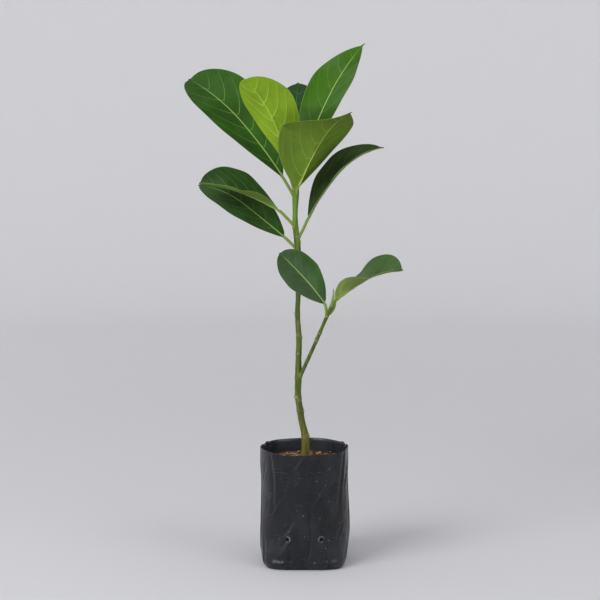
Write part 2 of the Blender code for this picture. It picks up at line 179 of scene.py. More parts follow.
class Value:
    """One shader socket, for use in Python expressions."""

    def __init__(self, paint: "Paint", socket: bpy.types.NodeSocket) -> None:
        """Keeps the socket and the paint that it belongs to."""
        self.paint = paint
        self.socket = socket

    def math(self, operation: str, *others: object) -> "Value":
        """Adds a Math node whose first input is this value."""
        return self.paint.node("ShaderNodeMath", {"operation": operation}, [self, *others])

    def __add__(self, other: object) -> "Value":
        """This plus the other."""
        return self.math("ADD", other)

    __radd__ = __add__

    def __mul__(self, other: object) -> "Value":
        """This times the other."""
        return self.math("MULTIPLY", other)

    __rmul__ = __mul__

    def __sub__(self, other: object) -> "Value":
        """This less the other."""
        return self.math("SUBTRACT", other)

    def __rsub__(self, other: object) -> "Value":
        """The other less this."""
        return self.paint.node("ShaderNodeMath", {"operation": "SUBTRACT"}, [other, self])

    def __truediv__(self, other: object) -> "Value":
        """This over the other."""
        return self.math("DIVIDE", other)

    def __abs__(self) -> "Value":
        """This without its sign."""
        return self.math("ABSOLUTE")

    def between(self, low: float, high: float) -> "Value":
        """Goes smoothly from 0 at low to 1 at high."""
        return self.paint.node("ShaderNodeMapRange", {"interpolation_type": "SMOOTHSTEP"},
                               {"Value": self, "From Min": low, "From Max": high})


class Paint:
    """A material under construction, with its Principled BSDF."""

    def __init__(self, name: str) -> None:
        """Starts the material.

        Args:
            name: its name.
        """
        self.material = bpy.data.materials.new(name)
        self.material.use_nodes = True
        self.tree = self.material.node_tree
        self.shader = self.tree.nodes["Principled BSDF"]

    def node(self, kind: str, settings: dict | None = None, inputs: object = None,
             output: object = 0) -> Value:
        """Adds a node.

        Args:
            kind: the node's type.
            settings: what is set on the node itself, before its sockets.
            inputs: values or links, by socket name or in order.
            output: the name or number of the socket that is handed back.

        Returns:
            That output socket.
        """
        made = self.tree.nodes.new(kind)
        for name, value in (settings or {}).items():
            setattr(made, name, value)
        pairs = inputs.items() if isinstance(inputs, dict) else enumerate(inputs or ())
        for name, value in pairs:
            self.feed(made.inputs[name], value)
        return Value(self, made.outputs[output])

    def feed(self, socket: bpy.types.NodeSocket, value: object) -> None:
        """Links or sets one socket.

        Args:
            socket: a node's socket.
            value: a link, a number, a vector or a colour.
        """
        if isinstance(value, Value):
            self.tree.links.new(value.socket, socket)
        elif isinstance(value, tuple) and len(value) == 3 and socket.type == "RGBA":
            socket.default_value = (*value, 1)
        else:
            socket.default_value = value

    def mix(self, share: object, first: object, second: object) -> Value:
        """Goes from the first colour to the second.

        Args:
            share: how much of the second there is, from 0 to 1.
            first: the colour at 0.
            second: the colour at 1.

        Returns:
            The mixed colour.
        """
        made = self.tree.nodes.new("ShaderNodeMix")
        made.data_type = "RGBA"
        by_name = {s.identifier: s for s in made.inputs}
        self.feed(by_name["Factor_Float"], share)
        self.feed(by_name["A_Color"], first)
        self.feed(by_name["B_Color"], second)
        return Value(self, next(s for s in made.outputs if s.identifier == "Result_Color"))

    def place(self) -> Value:
        """The point's place in the frame, which the object's own coordinates are."""
        return self.node("ShaderNodeTexCoord", output="Object")

    def noise(self, scale: float, detail: float = 3.0, stretch: tuple = (1.0, 1.0, 1.0)) -> Value:
        """Uneven values from 0 to 1, whose waves are 1 / scale metres long."""
        moved = self.node("ShaderNodeMapping", None, {"Vector": self.place(), "Scale": stretch})
        return self.node("ShaderNodeTexNoise", None, {"Vector": moved, "Scale": scale, "Detail": detail})

    def specks(self, scale: float, size: float) -> Value:
        """Small spots, 1 in their middle, on a grid of 1 / scale metres."""
        near = self.node("ShaderNodeTexVoronoi", None, {"Vector": self.place(), "Scale": scale}, "Distance")
        return 1 - near.between(size * 0.5, size)

    def measured(self, name: str) -> Value:
        """A number that the mesh holds at each of its points."""
        return self.node("ShaderNodeAttribute", {"attribute_name": name}, output="Fac")

    def bump(self, height: Value, strength: float, distance: float) -> Value:
        """A normal from a height."""
        sockets = {"Height": height, "Strength": strength, "Distance": distance}
        return self.node("ShaderNodeBump", None, sockets)

    def far_from(self, point: tuple) -> Value:
        """The distance from a point."""
        return self.node("ShaderNodeVectorMath", {"operation": "DISTANCE"}, [self.place(), point], "Value")

    def height(self) -> Value:
        """How far the point is above the floor."""
        return self.node("ShaderNodeSeparateXYZ", None, [self.place()], "Z")

    def finish(self, **sockets: object) -> bpy.types.Material:
        """Feeds the shader's own sockets.

        Args:
            sockets: values or links by socket name, with underscores for spaces.

        Returns:
            The material.
        """
        for name, value in sockets.items():
            self.feed(self.shader.inputs[name.replace("_", " ")], value)
        return self.material


# Meshes

def ribbon_chart(rows: int, columns: int) -> np.ndarray:
    """Lays out a grid's points in the bake map's left four fifths.

    Args:
        rows, columns: how many points the grid has each way.

    Returns:
        Their places, (rows, columns, 2).
    """
    u = 0.01 + 0.80 * np.linspace(0, 1, columns)
    v = 0.01 + 0.98 * np.linspace(0, 1, rows)
    return np.stack(np.meshgrid(u, v), -1)


def mesh_piece(name: str, points: np.ndarray, faces: list, charts: list | None, material: bpy.types.Material,
               measures: dict | None = None, sharp: float = 50) -> bpy.types.Object:
    """Makes an object of a mesh.

    Args:
        name: the piece's name.
        points: its points as rows of x, y and z.
        faces: the points of each face.
        charts: the corners' places in the bake map, face by face, or None for no bake map.
        material: its finish.
        measures: numbers at each point, by name.
        sharp: the angle in degrees from which an edge stays sharp.

    Returns:
        The object, in the scene.
    """
    mesh = bpy.data.meshes.new(name)
    mesh.from_pydata([tuple(p) for p in points], [], faces)
    if charts is not None:
        layer = mesh.uv_layers.new(name="OFBake")
        layer.data.foreach_set("uv", np.array([c for face in charts for c in face], np.float32).ravel())
    for label, values in (measures or {}).items():
        mesh.attributes.new(label, "FLOAT", "POINT").data.foreach_set("value", np.asarray(values, np.float32))
    mesh.materials.append(material)
    mesh.shade_smooth()
    mesh.set_sharp_from_angle(angle=math.radians(sharp))
    made = bpy.data.objects.new(name, mesh)
    bpy.context.scene.collection.objects.link(made)
    return made


def lofted(name: str, loops: np.ndarray, material: bpy.types.Material, measures: dict | None = None,
           sharp: float = 50) -> bpy.types.Object:
    """Makes a closed piece through rings of equal point counts.

    Args:
        name: the piece's name.
        loops: the rings, (rings, points, 3).
        material: its finish.
        measures: numbers at each point, (rings, points), by name.
        sharp: the angle in degrees from which an edge stays sharp.

    Returns:
        The object, in the scene. Its bake map is one rectangle for the side and one disc for each end.
    """
    rings, count, _ = loops.shape
    side = ribbon_chart(rings, count + 1)
    faces, charts = [], []
    for r in range(rings - 1):
        for i in range(count):
            after = (i + 1) % count
            faces.append((r * count + i, r * count + after, (r + 1) * count + after, (r + 1) * count + i))
            charts.append((side[r, i], side[r, i + 1], side[r + 1, i + 1], side[r + 1, i]))
    turn = bearings(count)
    for ring, middle, order in ((0, 0.10, -1), (rings - 1, 0.40, 1)):
        disc = np.stack([0.90 + 0.08 * np.cos(turn), middle + 0.08 * np.sin(turn)], 1)
        faces.append(tuple(ring * count + i for i in range(count))[::order])
        charts.append(tuple(disc[i] for i in range(count))[::order])
    flat = {label: np.asarray(values).reshape(-1) for label, values in (measures or {}).items()}
    return mesh_piece(name, loops.reshape(-1, 3), faces, charts, material, flat, sharp)


def facing_out(piece: bpy.types.Object) -> bpy.types.Object:
    """Turns a closed piece's faces outwards.

    Args:
        piece: the piece.

    Returns:
        The same piece.
    """
    edit = bmesh.new()
    edit.from_mesh(piece.data)
    bmesh.ops.recalc_face_normals(edit, faces=edit.faces)
    edit.to_mesh(piece.data)
    edit.free()
    return piece


def tube(centres: np.ndarray, radii: np.ndarray, sides: int) -> np.ndarray:
    """Lays rings square to a line.

    Args:
        centres: the line's points.
        radii: the rings' radii.
        sides: how many points a ring has.

    Returns:
        The rings, (rings, sides, 3).
    """
    bearing = bearings(sides)
    ways = np.gradient(centres, axis=0)
    ways /= np.linalg.norm(ways, axis=1)[:, None]
    loops = []
    for centre, radius, way in zip(centres, radii, ways):
        side = np.cross(way, (0.0, 1.0, 0.0))
        side /= np.linalg.norm(side)
        other = np.cross(way, side)
        ring = np.cos(bearing)[:, None] * side + np.sin(bearing)[:, None] * other
        loops.append(centre + radius * ring)
    return np.array(loops)


class Slot(Enum):
    """The record's material slots."""

    FILM = "black_film"
    MIX = "coir_mix"
    BARK = "young_bark"
    SHEATH = "green_sheath"
    GROWN = "grown_leaf"
    FRESH = "fresh_leaf"


def show(piece: bpy.types.Object, slot: Slot, *nodes: str) -> bpy.types.Object:
    """Gives a piece to the frame.

    Args:
        piece: the piece, in its place.
        slot: the record's material slot; not used.
        nodes: the solids that it stands for.

    Returns:
        The piece.
    """
    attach(piece, "root")
    if nodes:
        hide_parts(*nodes)
    LOG.info("%s: %d faces", piece.name, len(piece.data.polygons))
    return piece


# Stems

@dataclass
class Stem:
    """The trunk, its side branch and the bud on that."""

    course: tuple = (
        (0.1118, 0.0015, 0.000, 0.0049),
        (0.122, 0.0013, 0.000, 0.0044),
        (0.135, 0.0010, 0.000, 0.0041),
        (0.151, -0.0025, 0.001, 0.0036),
        (0.164, -0.0046, 0.002, 0.0036),
        (0.179, -0.0066, 0.002, 0.0034),
        (0.198, -0.0063, 0.002, 0.0036),
        (0.218, -0.0062, 0.001, 0.0032),
        (0.239, -0.0056, 0.001, 0.0030),
        (0.266, -0.0072, 0.002, 0.0026),
        (0.285, -0.0066, 0.002, 0.0026),
        (0.311, -0.0067, 0.001, 0.0029),
        (0.340, -0.0072, 0.000, 0.0032),
        (0.360, -0.0094, 0.000, 0.0030),
        (0.377, -0.0096, 0.000, 0.0028),
        (0.392, -0.0092, 0.000, 0.0035),
        (0.404, -0.0090, 0.000, 0.0028),
        (0.410, -0.0090, 0.000, 0.0009),
    )
    # Height, the bearing of the scar, and how far it stands out.
    scars: tuple = ((0.136, 20, 0.0008), (0.163, 10, 0.0009), (0.178, 190, 0.0010), (0.199, 185, 0.0006),
                    (0.225, 250, 0.0005), (0.242, 0, 0.0007), (0.267, 180, 0.0008), (0.334, 180, 0.0007),
                    (0.344, 0, 0.0007), (0.359, 180, 0.0007))
    branch_height: float = 0.196
    branch_length: float = 0.094
    branch_headings: tuple = (-40, -44)
    branch_rises: tuple = (60, 62)
    branch_radii: tuple = (0.0021, 0.0018)
    branch_rings: tuple = (0.052, 0.061, 0.0825)
    bud_length: float = 0.020
    sides: int = 40
    branch_sides: int = 28
    bud_sides: int = 32
    bud_rings: int = 60
    step: float = 0.0009
    # A scar's half height, and the groove just above it.
    scar_half: float = 0.0024
    groove_above: float = 0.0016
    groove_half: float = 0.0007
    flare: float = 0.0007
    flare_height: float = 0.007
    bark_grain: float = 0.0026
    node_rise: float = 0.0004

    def trunk_line(self, height: object) -> tuple[np.ndarray, np.ndarray]:
        """Reads the trunk's line.

        Args:
            height: one height, or several.

        Returns:
            Its centres and its radii there.
        """
        height = np.atleast_1d(np.asarray(height, float))
        found = spline(self.course, height)
        return np.column_stack([found[:, 0], found[:, 1], height]), found[:, 2]

    def branch_line(self, along: object) -> tuple[np.ndarray, np.ndarray]:
        """Reads the branch's line.

        Args:
            along: one distance from the trunk's middle, or several.

        Returns:
            Its centres and its radii there.
        """
        along = np.atleast_1d(np.asarray(along, float))
        start = self.trunk_line(self.branch_height)[0][0]
        stations = ((0, self.branch_headings[0], self.branch_rises[0]),
                    (self.branch_length, self.branch_headings[1], self.branch_rises[1]))
        centres, _, _ = walk(start, stations, along)
        return centres, np.interp(along, (0, self.branch_length), self.branch_radii)

    def scar_rise(self, height: float, bearing: np.ndarray) -> np.ndarray:
        """Finds how far old leaf scars stand out.

        Args:
            height: a height on the trunk.
            bearing: angles round it, in radians.

        Returns:
            The rise at each angle.
        """
        out = np.zeros(len(bearing))
        for level, scar, rise in self.scars:
            near = hump(height - level, self.scar_half)
            pinch = 0.35 * hump(height - level - self.groove_above, self.groove_half)
            facing = 0.35 + 0.65 * np.clip(np.cos(bearing - math.radians(scar)), 0, 1) ** 2
            out += rise * (near - pinch) * facing
        return out

    def build_trunk(self, material: bpy.types.Material) -> bpy.types.Object:
        """Makes the trunk with its scars, root flare and fine bark ridges.

        Args:
            material: its finish.

        Returns:
            The piece, which stands for the trunk's solid.
        """
        low, high = self.course[0][0], self.course[-1][0]
        heights = np.linspace(low, high, round((high - low) / self.step))
        centres, radii = self.trunk_line(heights)
        bearing = bearings(self.sides)
        loops, marks = [], []
        for centre, radius in zip(centres, radii):
            height = centre[2]
            foot = math.exp(-(height - low) / self.flare_height)
            scar = self.scar_rise(height, bearing)
            spread = radius + scar + self.flare * foot * np.cos(3 * bearing + 0.6)
            ring = spread[:, None] * direction(np.degrees(bearing), np.zeros(self.sides))
            points = centre + ring
            drawn_out = points * np.array([1, 1, 0.22])
            rough = 0.00010 + 0.00016 * foot
            ridge = rough * ripples(drawn_out, self.bark_grain, 5) + 0.00006 * ripples(points, 0.0011, 6, 2)
            points += ridge[:, None] * ring / spread[:, None]
            loops.append(points)
            marks.append(np.clip(scar / 0.0007, 0, 1))
        piece = lofted("trunk_bark", np.array(loops), material, {"scar": np.array(marks)}, 70)
        return show(facing_out(piece), Slot.BARK, "trunk")

    def build_branch(self, material: bpy.types.Material) -> bpy.types.Object:
        """Makes the side branch, sunk a little into the trunk.

        Args:
            material: its finish.

        Returns:
            The piece, which stands for the branch's solid.
        """
        along = np.linspace(0.0015, self.branch_length, round(self.branch_length / self.step))
        centres, radii = self.branch_line(along)
        rings = sum(self.node_rise * hump(along - level, 0.0016) for level in self.branch_rings)
        collar = 0.0008 * hump(along, 0.006)
        loops = tube(centres, radii + rings + collar, self.branch_sides)
        flat = loops.reshape(-1, 3)
        middle = np.repeat(centres, self.branch_sides, axis=0)
        way = (flat - middle) / np.linalg.norm(flat - middle, axis=1)[:, None]
        flat = flat + way * (0.00009 * ripples(flat, 0.003, 8))[:, None]
        marks = np.repeat(np.clip(rings / self.node_rise, 0, 1)[:, None], self.branch_sides, 1) * 0.8
        piece = lofted("branch_bark", flat.reshape(loops.shape), material, {"scar": marks}, 70)
        return show(facing_out(piece), Slot.BARK, "side_branch")

    def build_bud(self, material: bpy.types.Material) -> bpy.types.Object:
        """Makes the closed bud: a rolled sheath whose edge winds round it to its point.

        Args:
            material: its finish.

        Returns:
            The piece, which stands for the bud's solid.
        """
        foot, back = (self.branch_line(self.branch_length - short)[0][0] for short in (0.0004, 0.0014))
        way = (foot - back) / np.linalg.norm(foot - back)
        heading = math.degrees(math.atan2(way[1], way[0]))
        rise = math.degrees(math.asin(way[2]))
        share = np.linspace(0, 1, self.bud_rings)
        stations = ((0, heading, rise), (self.bud_length * 0.5, heading + 20, 84), (self.bud_length, 120, 88))
        centres, _, _ = walk(foot, stations, share * self.bud_length)
        radii = self.branch_radii[1] * np.interp(share, (0, 0.06, 0.25, 0.5, 0.97, 1),
                                                 (1.0, 0.92, 0.82, 0.76, 0.25, 0.1))
        loops = tube(centres, radii, self.bud_sides)
        turn = bearings(self.bud_sides)
        for i, s in enumerate(share):
            seam = (turn - 5.0 * s - 0.6) % (2 * math.pi) / (2 * math.pi)
            roll = 1 + 0.10 * (seam - 0.5) + 0.04 * np.cos(2 * turn + 3 * s)
            loops[i] = centres[i] + (loops[i] - centres[i]) * roll[:, None]
        marks = np.zeros((self.bud_rings, self.bud_sides))
        piece = lofted("bud_sheath", loops, material, {"scar": marks}, 50)
        return show(facing_out(piece), Slot.SHEATH, "branch_bud")


# Leaves

class Side(Enum):
    """The two faces of a leaf."""

    UPPER = 1
    UNDER = -1


class Bearer(Enum):
    """What a leaf grows on."""

    TRUNK = "trunk"
    BRANCH = "branch"


@dataclass(frozen=True)
class LeafFinish:
    """The colours of one leaf, on a screen's scale from 0 to 255, and its gloss."""

    upper: tuple
    under: tuple
    rib: tuple = (142, 166, 86)
    vein: tuple = (104, 142, 66)
    vein_strength: float = 0.60
    ladder_strength: float = 0.10
    grey_tip: float = 0.0
    coat: float = 0.12
    roughness: float = 0.38
    stalk: tuple = (118, 138, 62)
    tip_grey: tuple = (96, 98, 84)
    fleck: tuple = (172, 168, 120)
    vein_half: float = 0.00042
    rung_apart: float = 0.0021
    cell_count: float = 620

    def shades(self, colour: tuple, darker: float, lighter: float) -> tuple[tuple, tuple]:
        """A darker and a lighter shade of a colour, in linear values."""
        plain = linear(*colour)
        return tuple(c * darker for c in plain), tuple(min(1.0, c * lighter) for c in plain)

    def paint(self, name: str, vein_apart: float) -> bpy.types.Material:
        """Makes the leaf's material.

        Args:
            name: the material's name.
            vein_apart: the distance between neighbouring side veins.

        Returns:
            A waxy blade with a pale rib, arched side veins and a fine net between them.
        """
        paint = Paint(name)
        upper = paint.measured("upper").between(0.35, 0.65)
        stalk = paint.measured("stalk")
        margin = paint.measured("margin")
        taper = paint.measured("taper")
        cloud = paint.noise(28, 3)
        fine = paint.noise(420, 2)

        # Side veins lie where the course is a whole number, and rungs cross from one to the next.
        warp = (paint.noise(150, 2) - 0.5) * 0.10
        beside = abs((paint.measured("course") + warp + 0.5).math("FRACT") - 0.5) * vein_apart
        share = beside / (self.vein_half - margin * 0.00018)
        within = (1 - margin.between(0.86, 0.98)) * taper * (1 - stalk)
        vein = (1 - share.between(0.55, 1.35)) * within
        trough = (1 - share.between(0.8, 4.0)) * within
        rungs = paint.measured("along") * 1.15 + paint.measured("reach") + (paint.noise(95, 3) - 0.5) * 0.004
        rung = 1 - abs((rungs / self.rung_apart).math("FRACT") - 0.5).between(0.05, 0.17)
        rung = rung * (1 - vein) * within
        cells = paint.node("ShaderNodeTexVoronoi", {"feature": "DISTANCE_TO_EDGE"},
                           {"Vector": paint.place(), "Scale": self.cell_count}, "Distance")
        net = (1 - cells.between(0.0, 0.16)) * (1 - vein)

        top = paint.mix(cloud.between(0.32, 0.70), *self.shades(self.upper, 0.70, 1.30))
        under = paint.mix(cloud.between(0.30, 0.72), *self.shades(self.under, 0.84, 1.22))
        blade = paint.mix(upper, under, top)
        for strength in (net * 0.10 + rung * self.ladder_strength, trough * self.vein_strength * 0.12,
                         vein * self.vein_strength):
            blade = paint.mix(strength, blade, linear(*self.vein))
        rib = (1 - paint.measured("across").between(0.35, 1.0)) * taper
        blade = paint.mix(rib, blade, linear(*self.rib))
        # The blade turns grey-olive towards its tip.
        blade = paint.mix((1 - taper.between(0.05, 0.55)) * self.grey_tip, blade, linear(*self.tip_grey))
        blade = paint.mix(margin.between(0.965, 0.998) * 0.35, blade, linear(*self.rib))
        blade = paint.mix(stalk, blade, linear(*self.stalk))
        flecks = paint.specks(260, 0.10) * cloud.between(0.60, 0.70)
        blade = paint.mix(flecks * 0.55, blade, linear(*self.fleck))

        gloss = paint.noise(17, 3).between(0.44, 0.60)
        rough = self.roughness + (1 - upper) * 0.24 + fine * 0.12
        raised = (vein * 1.4 + trough * 0.6) * (1 - upper) - trough * upper * 0.9
        height = fine * 0.2 + cells.between(0.0, 0.30) * 0.3 + rung * 0.5 + raised
        return paint.finish(Base_Color=blade, Roughness=rough, Normal=paint.bump(height, 0.45, 0.0007),
                            Coat_Weight=upper * gloss * self.coat, Coat_Roughness=0.28,
                            Specular_IOR_Level=0.08)


@dataclass(frozen=True)
class Leaf:
    """One leaf, from the stem that bears it to its tip.

    headings and rises are those of its line at the stem, at the end of the stalk, at the foot of
    the blade, half way along the blade and at the tip. rolls turn the blade about that line, and
    folds lift its left and right halves, each at the foot, half way and at the tip. curls bend
    each half from rib to margin.
    """

    name: str
    height: float
    petiole: float
    blade: float
    widths: tuple
    headings: tuple
    rises: tuple
    rolls: tuple
    left_folds: tuple
    right_folds: tuple
    finish: LeafFinish
    curls: tuple = (10, 10)
    widest: float = 0.58
    foot_power: float = 1.15
    tip_powers: tuple = (0.62, 0.62)
    point: float = 0.018
    wave: float = 0.0005
    bearer: Bearer = Bearer.TRUNK
    slot: Slot = Slot.GROWN
    veins: int = 6
    quilting: float = 0.00022


@dataclass
class Foliage:
    """All the leaves, each a thin blade with a keeled rib and sunken side veins."""

    stem: Stem
    leaves: tuple
    sections: int = 96
    across: int = 18
    thickness: float = 0.00055
    petiole_radius: float = 0.0017
    knee: float = 0.005
    rib_radius: float = 0.0012
    rib_tip_radius: float = 0.0004
    vein_width: float = 0.0013
    vein_proud: float = 0.00022
    rib_sunk: float = 0.0003
    rib_trough: float = 0.0009
    rib_keel: float = 1.35
    margin_thinner: float = 0.65
    stalk_sections: int = 16

    def half_width(self, leaf: Leaf, share: np.ndarray, right: bool = False) -> np.ndarray:
        """Finds a half's width, from its wedge foot to its point.

        Args:
            leaf: the leaf.
            share: shares of the blade's length.
            right: whether it is the right half.

        Returns:
            The widths there.
        """
        share = np.asarray(share, float)
        body = np.clip(share / (1 - leaf.point), 0, 1)
        before = np.sin(np.pi / 2 * np.clip(body / leaf.widest, 0, 1)) ** leaf.foot_power
        past = np.clip((body - leaf.widest) / (1 - leaf.widest), 0, 1)
        after = np.cos(np.pi / 2 * past) ** leaf.tip_powers[right]
        lobe = np.where(body < leaf.widest, before, after) * leaf.widths[right]
        drip = 0.0016 - 0.0013 * np.clip((share - (1 - leaf.point)) / leaf.point, 0, 1)
        least = np.where(share > 0.5, drip, 0.0007)
        return (lobe ** 3 + least ** 3) ** (1 / 3)

    def blade_stations(self, leaf: Leaf) -> np.ndarray:
        """Picks where the blade has its sections, closer where its end rounds off.

        Args:
            leaf: the leaf.

        Returns:
            Shares of the blade's length.
        """
        body = 1 - leaf.point
        turn = leaf.widest * body
        first = np.linspace(0, turn, self.sections // 2, endpoint=False)
        rest = turn + (body - turn) * np.sin(np.pi / 2 * np.linspace(0, 1, self.sections - len(first) - 6))
        return np.concatenate([first, rest[:-1], body + leaf.point * np.array([0.08, 0.2, 0.4, 0.6, 0.8, 1])])

    def vein_apart(self, leaf: Leaf) -> float:
        """The distance between neighbouring side veins, square to them."""
        return leaf.blade / (leaf.veins + 1) * 0.75

    def vein_course(self, leaf: Leaf, share: float, reach: np.ndarray, right: bool) -> np.ndarray:
        """Counts the side veins along a half section.

        Args:
            leaf: the leaf.
            share: how far along the blade the section is.
            reach: distances from the rib, from 0 to the half's width.
            right: whether it is the right half.

        Returns:
            Numbers that are whole on a vein, and grow by one from each vein to the next.
        """
        climb = (0.45 * reach + 1.25 * reach ** 2 / leaf.widths[right]) / leaf.blade
        return (share - climb) * (leaf.veins + 1) + (0.25 if right else 0.0)

    def half(self, leaf: Leaf, share: float, right: bool) -> dict:
        """The middle line of one half of a section.

        Args:
            leaf: the leaf.
            share: how far along the blade the section is.
            right: whether it is the right half.

        Returns:
            x, y and the line's normal from rib to margin, with what the finish needs at each point.
        """
        width = float(self.half_width(leaf, share, right))
        side = np.linspace(0, 1, self.across + 1) ** 0.9
        folds = leaf.right_folds if right else leaf.left_folds
        fold = math.radians(float(np.interp(share, (0, 0.5, 1), folds)))
        curl = math.radians(leaf.curls[right])
        turned = fold + curl * side
        sign = -1 if right else 1
        full = float(self.half_width(leaf, share)) / leaf.widths[0]
        wave = leaf.wave * math.sin(2 * math.pi * (3.2 * share + 0.17)) * full ** 2
        x = width * (np.sin(turned) - math.sin(fold)) / curl
        y = width * (math.cos(fold) - np.cos(turned)) / curl + sign * wave * side ** 2
        course = self.vein_course(leaf, share, side * width, right)
        beside = np.abs((course + 0.5) % 1 - 0.5) * self.vein_apart(leaf)
        vein = hump(beside, self.vein_width) * smooth((1 - side) * 6)
        lift = leaf.quilting * (np.sin(np.pi * side) ** 0.8) * (0.35 - vein) * full
        nx, ny = -np.sin(turned), np.cos(turned)
        return {"x": sign * (x + nx * lift), "y": y + ny * lift, "nx": sign * nx, "ny": ny,
                "vein": vein, "course": course, "side": side, "reach": side * width}

    def skin(self, half: dict, share: float, rib: float, side: Side) -> np.ndarray:
        """How far one face lies above a half section's middle line.

        Args:
            half: the half section.
            share: how far along the blade the section is.
            rib: the rib's radius there.
            side: which face.

        Returns:
            Distances along the line's normals, below 0 on the under face.
        """
        near = float(np.interp(share, (0, 0.06, 1), (0.9, 0.5, 0.5))) * self.thickness
        thin = near * (1 - self.margin_thinner * half["side"] ** 4)
        if side is Side.UPPER:
            return thin - self.rib_sunk * hump(half["reach"], self.rib_trough)
        keel = rib * self.rib_keel * hump(half["reach"], rib * 0.95)
        return -(thin + keel + self.vein_proud * half["vein"] * (1 - half["side"]))

    def section(self, leaf: Leaf, share: float) -> tuple[np.ndarray, dict]:
        """One closed loop round the blade, over its top from the right margin and back under its rib.

        Args:
            leaf: the leaf.
            share: how far along the blade the section is.

        Returns:
            The loop as (to its left, above it), and what the finish needs at each of its points.
        """
        left, right = (self.half(leaf, share, is_right) for is_right in (False, True))
        rib = float(np.interp(share, (0, 1), (self.rib_radius, self.rib_tip_radius)))
        out, inward = slice(1, None), slice(None, 0, -1)
        stretches = ((right, inward, Side.UPPER), (left, slice(None), Side.UPPER),
                     (left, slice(None, None, -1), Side.UNDER), (right, out, Side.UNDER))
        columns = []
        for half, order, side in stretches:
            skin = self.skin(half, share, rib, side)
            x, y = half["x"] + half["nx"] * skin, half["y"] + half["ny"] * skin
            upper = np.full(len(x), float(side is Side.UPPER))
            columns.append(np.stack([x, y, upper, half["course"], half["reach"], half["side"]])[:, order])
        x, y, upper, course, reach, margin = np.concatenate(columns, 1)
        full = np.ones(len(x))
        marks = {"upper": upper, "course": course, "across": reach / rib, "reach": reach, "margin": margin,
                 "along": share * leaf.blade * full, "taper": ease((1.02 - share) * 4) * full}
        return np.stack([x, y], 1), marks

    def round_section(self, radius: float) -> np.ndarray:
        """Makes the stalk's loop, point for point as the blade's.

        Args:
            radius: the stalk's radius.

        Returns:
            The loop as (to its left, above it).
        """
        top = np.linspace(-20, 200, 2 * self.across + 1)
        under = np.linspace(200, 340, 2 * self.across + 3)[1:-1]
        angle = np.radians(np.concatenate([top, under]))
        return radius * np.stack([-np.cos(angle), np.sin(angle)], 1)

    def build_leaf(self, leaf: Leaf) -> bpy.types.Object:
        """Makes one leaf.

        Args:
            leaf: its sizes.

        Returns:
            The piece, which stands for the leaf's solid.
        """
        lines = {Bearer.TRUNK: self.stem.trunk_line, Bearer.BRANCH: self.stem.branch_line}
        start, stem_radius = (found[0] for found in lines[leaf.bearer](leaf.height))
        foot = leaf.petiole
        distances = (0, foot - self.knee / 2, foot + self.knee / 2, foot + leaf.blade / 2, foot + leaf.blade)
        stations = tuple(zip(distances, leaf.headings, leaf.rises))
        stalk = np.linspace(stem_radius * 0.45, foot, self.stalk_sections, endpoint=False)
        at = np.concatenate([stalk, foot + self.blade_stations(leaf) * leaf.blade])
        centres, headings, rises = walk(start, stations, at)
        loops, marks = [], []
        for i, distance in enumerate(at):
            share = max(0.0, (distance - foot) / leaf.blade)
            joined = ease(share / 0.05) if distance >= foot else 0.0
            buried = 0.55 + 0.45 * ease(distance / 0.0024)
            swollen = 1 + 0.22 * (1 - ease(distance / foot / 0.5))
            blade, marked = self.section(leaf, share)
            round_stalk = self.round_section(self.petiole_radius * 0.92 * buried * swollen)
            plane = (1 - joined) * round_stalk + joined * blade
            heading = math.radians(headings[i])
            roll = math.radians(float(np.interp(share, (0, 0.5, 1), leaf.rolls)))
            level = np.array([-math.sin(heading), math.cos(heading), 0.0])
            upright = np.cross(direction(headings[i], rises[i]), level)
            left = math.cos(roll) * level + math.sin(roll) * upright
            above = -math.sin(roll) * level + math.cos(roll) * upright
            loops.append(centres[i] + plane[:, :1] * left + plane[:, 1:] * above)
            marked["stalk"] = np.full(len(plane), 1 - joined)
            marks.append(marked)
        measures = {name: np.array([m[name] for m in marks]) for name in marks[0]}
        finish = leaf.finish.paint(leaf.name + "_skin", self.vein_apart(leaf))
        piece = lofted(leaf.name + "_blade", np.array(loops), finish, measures, 75)
        return show(facing_out(piece), leaf.slot, leaf.name)


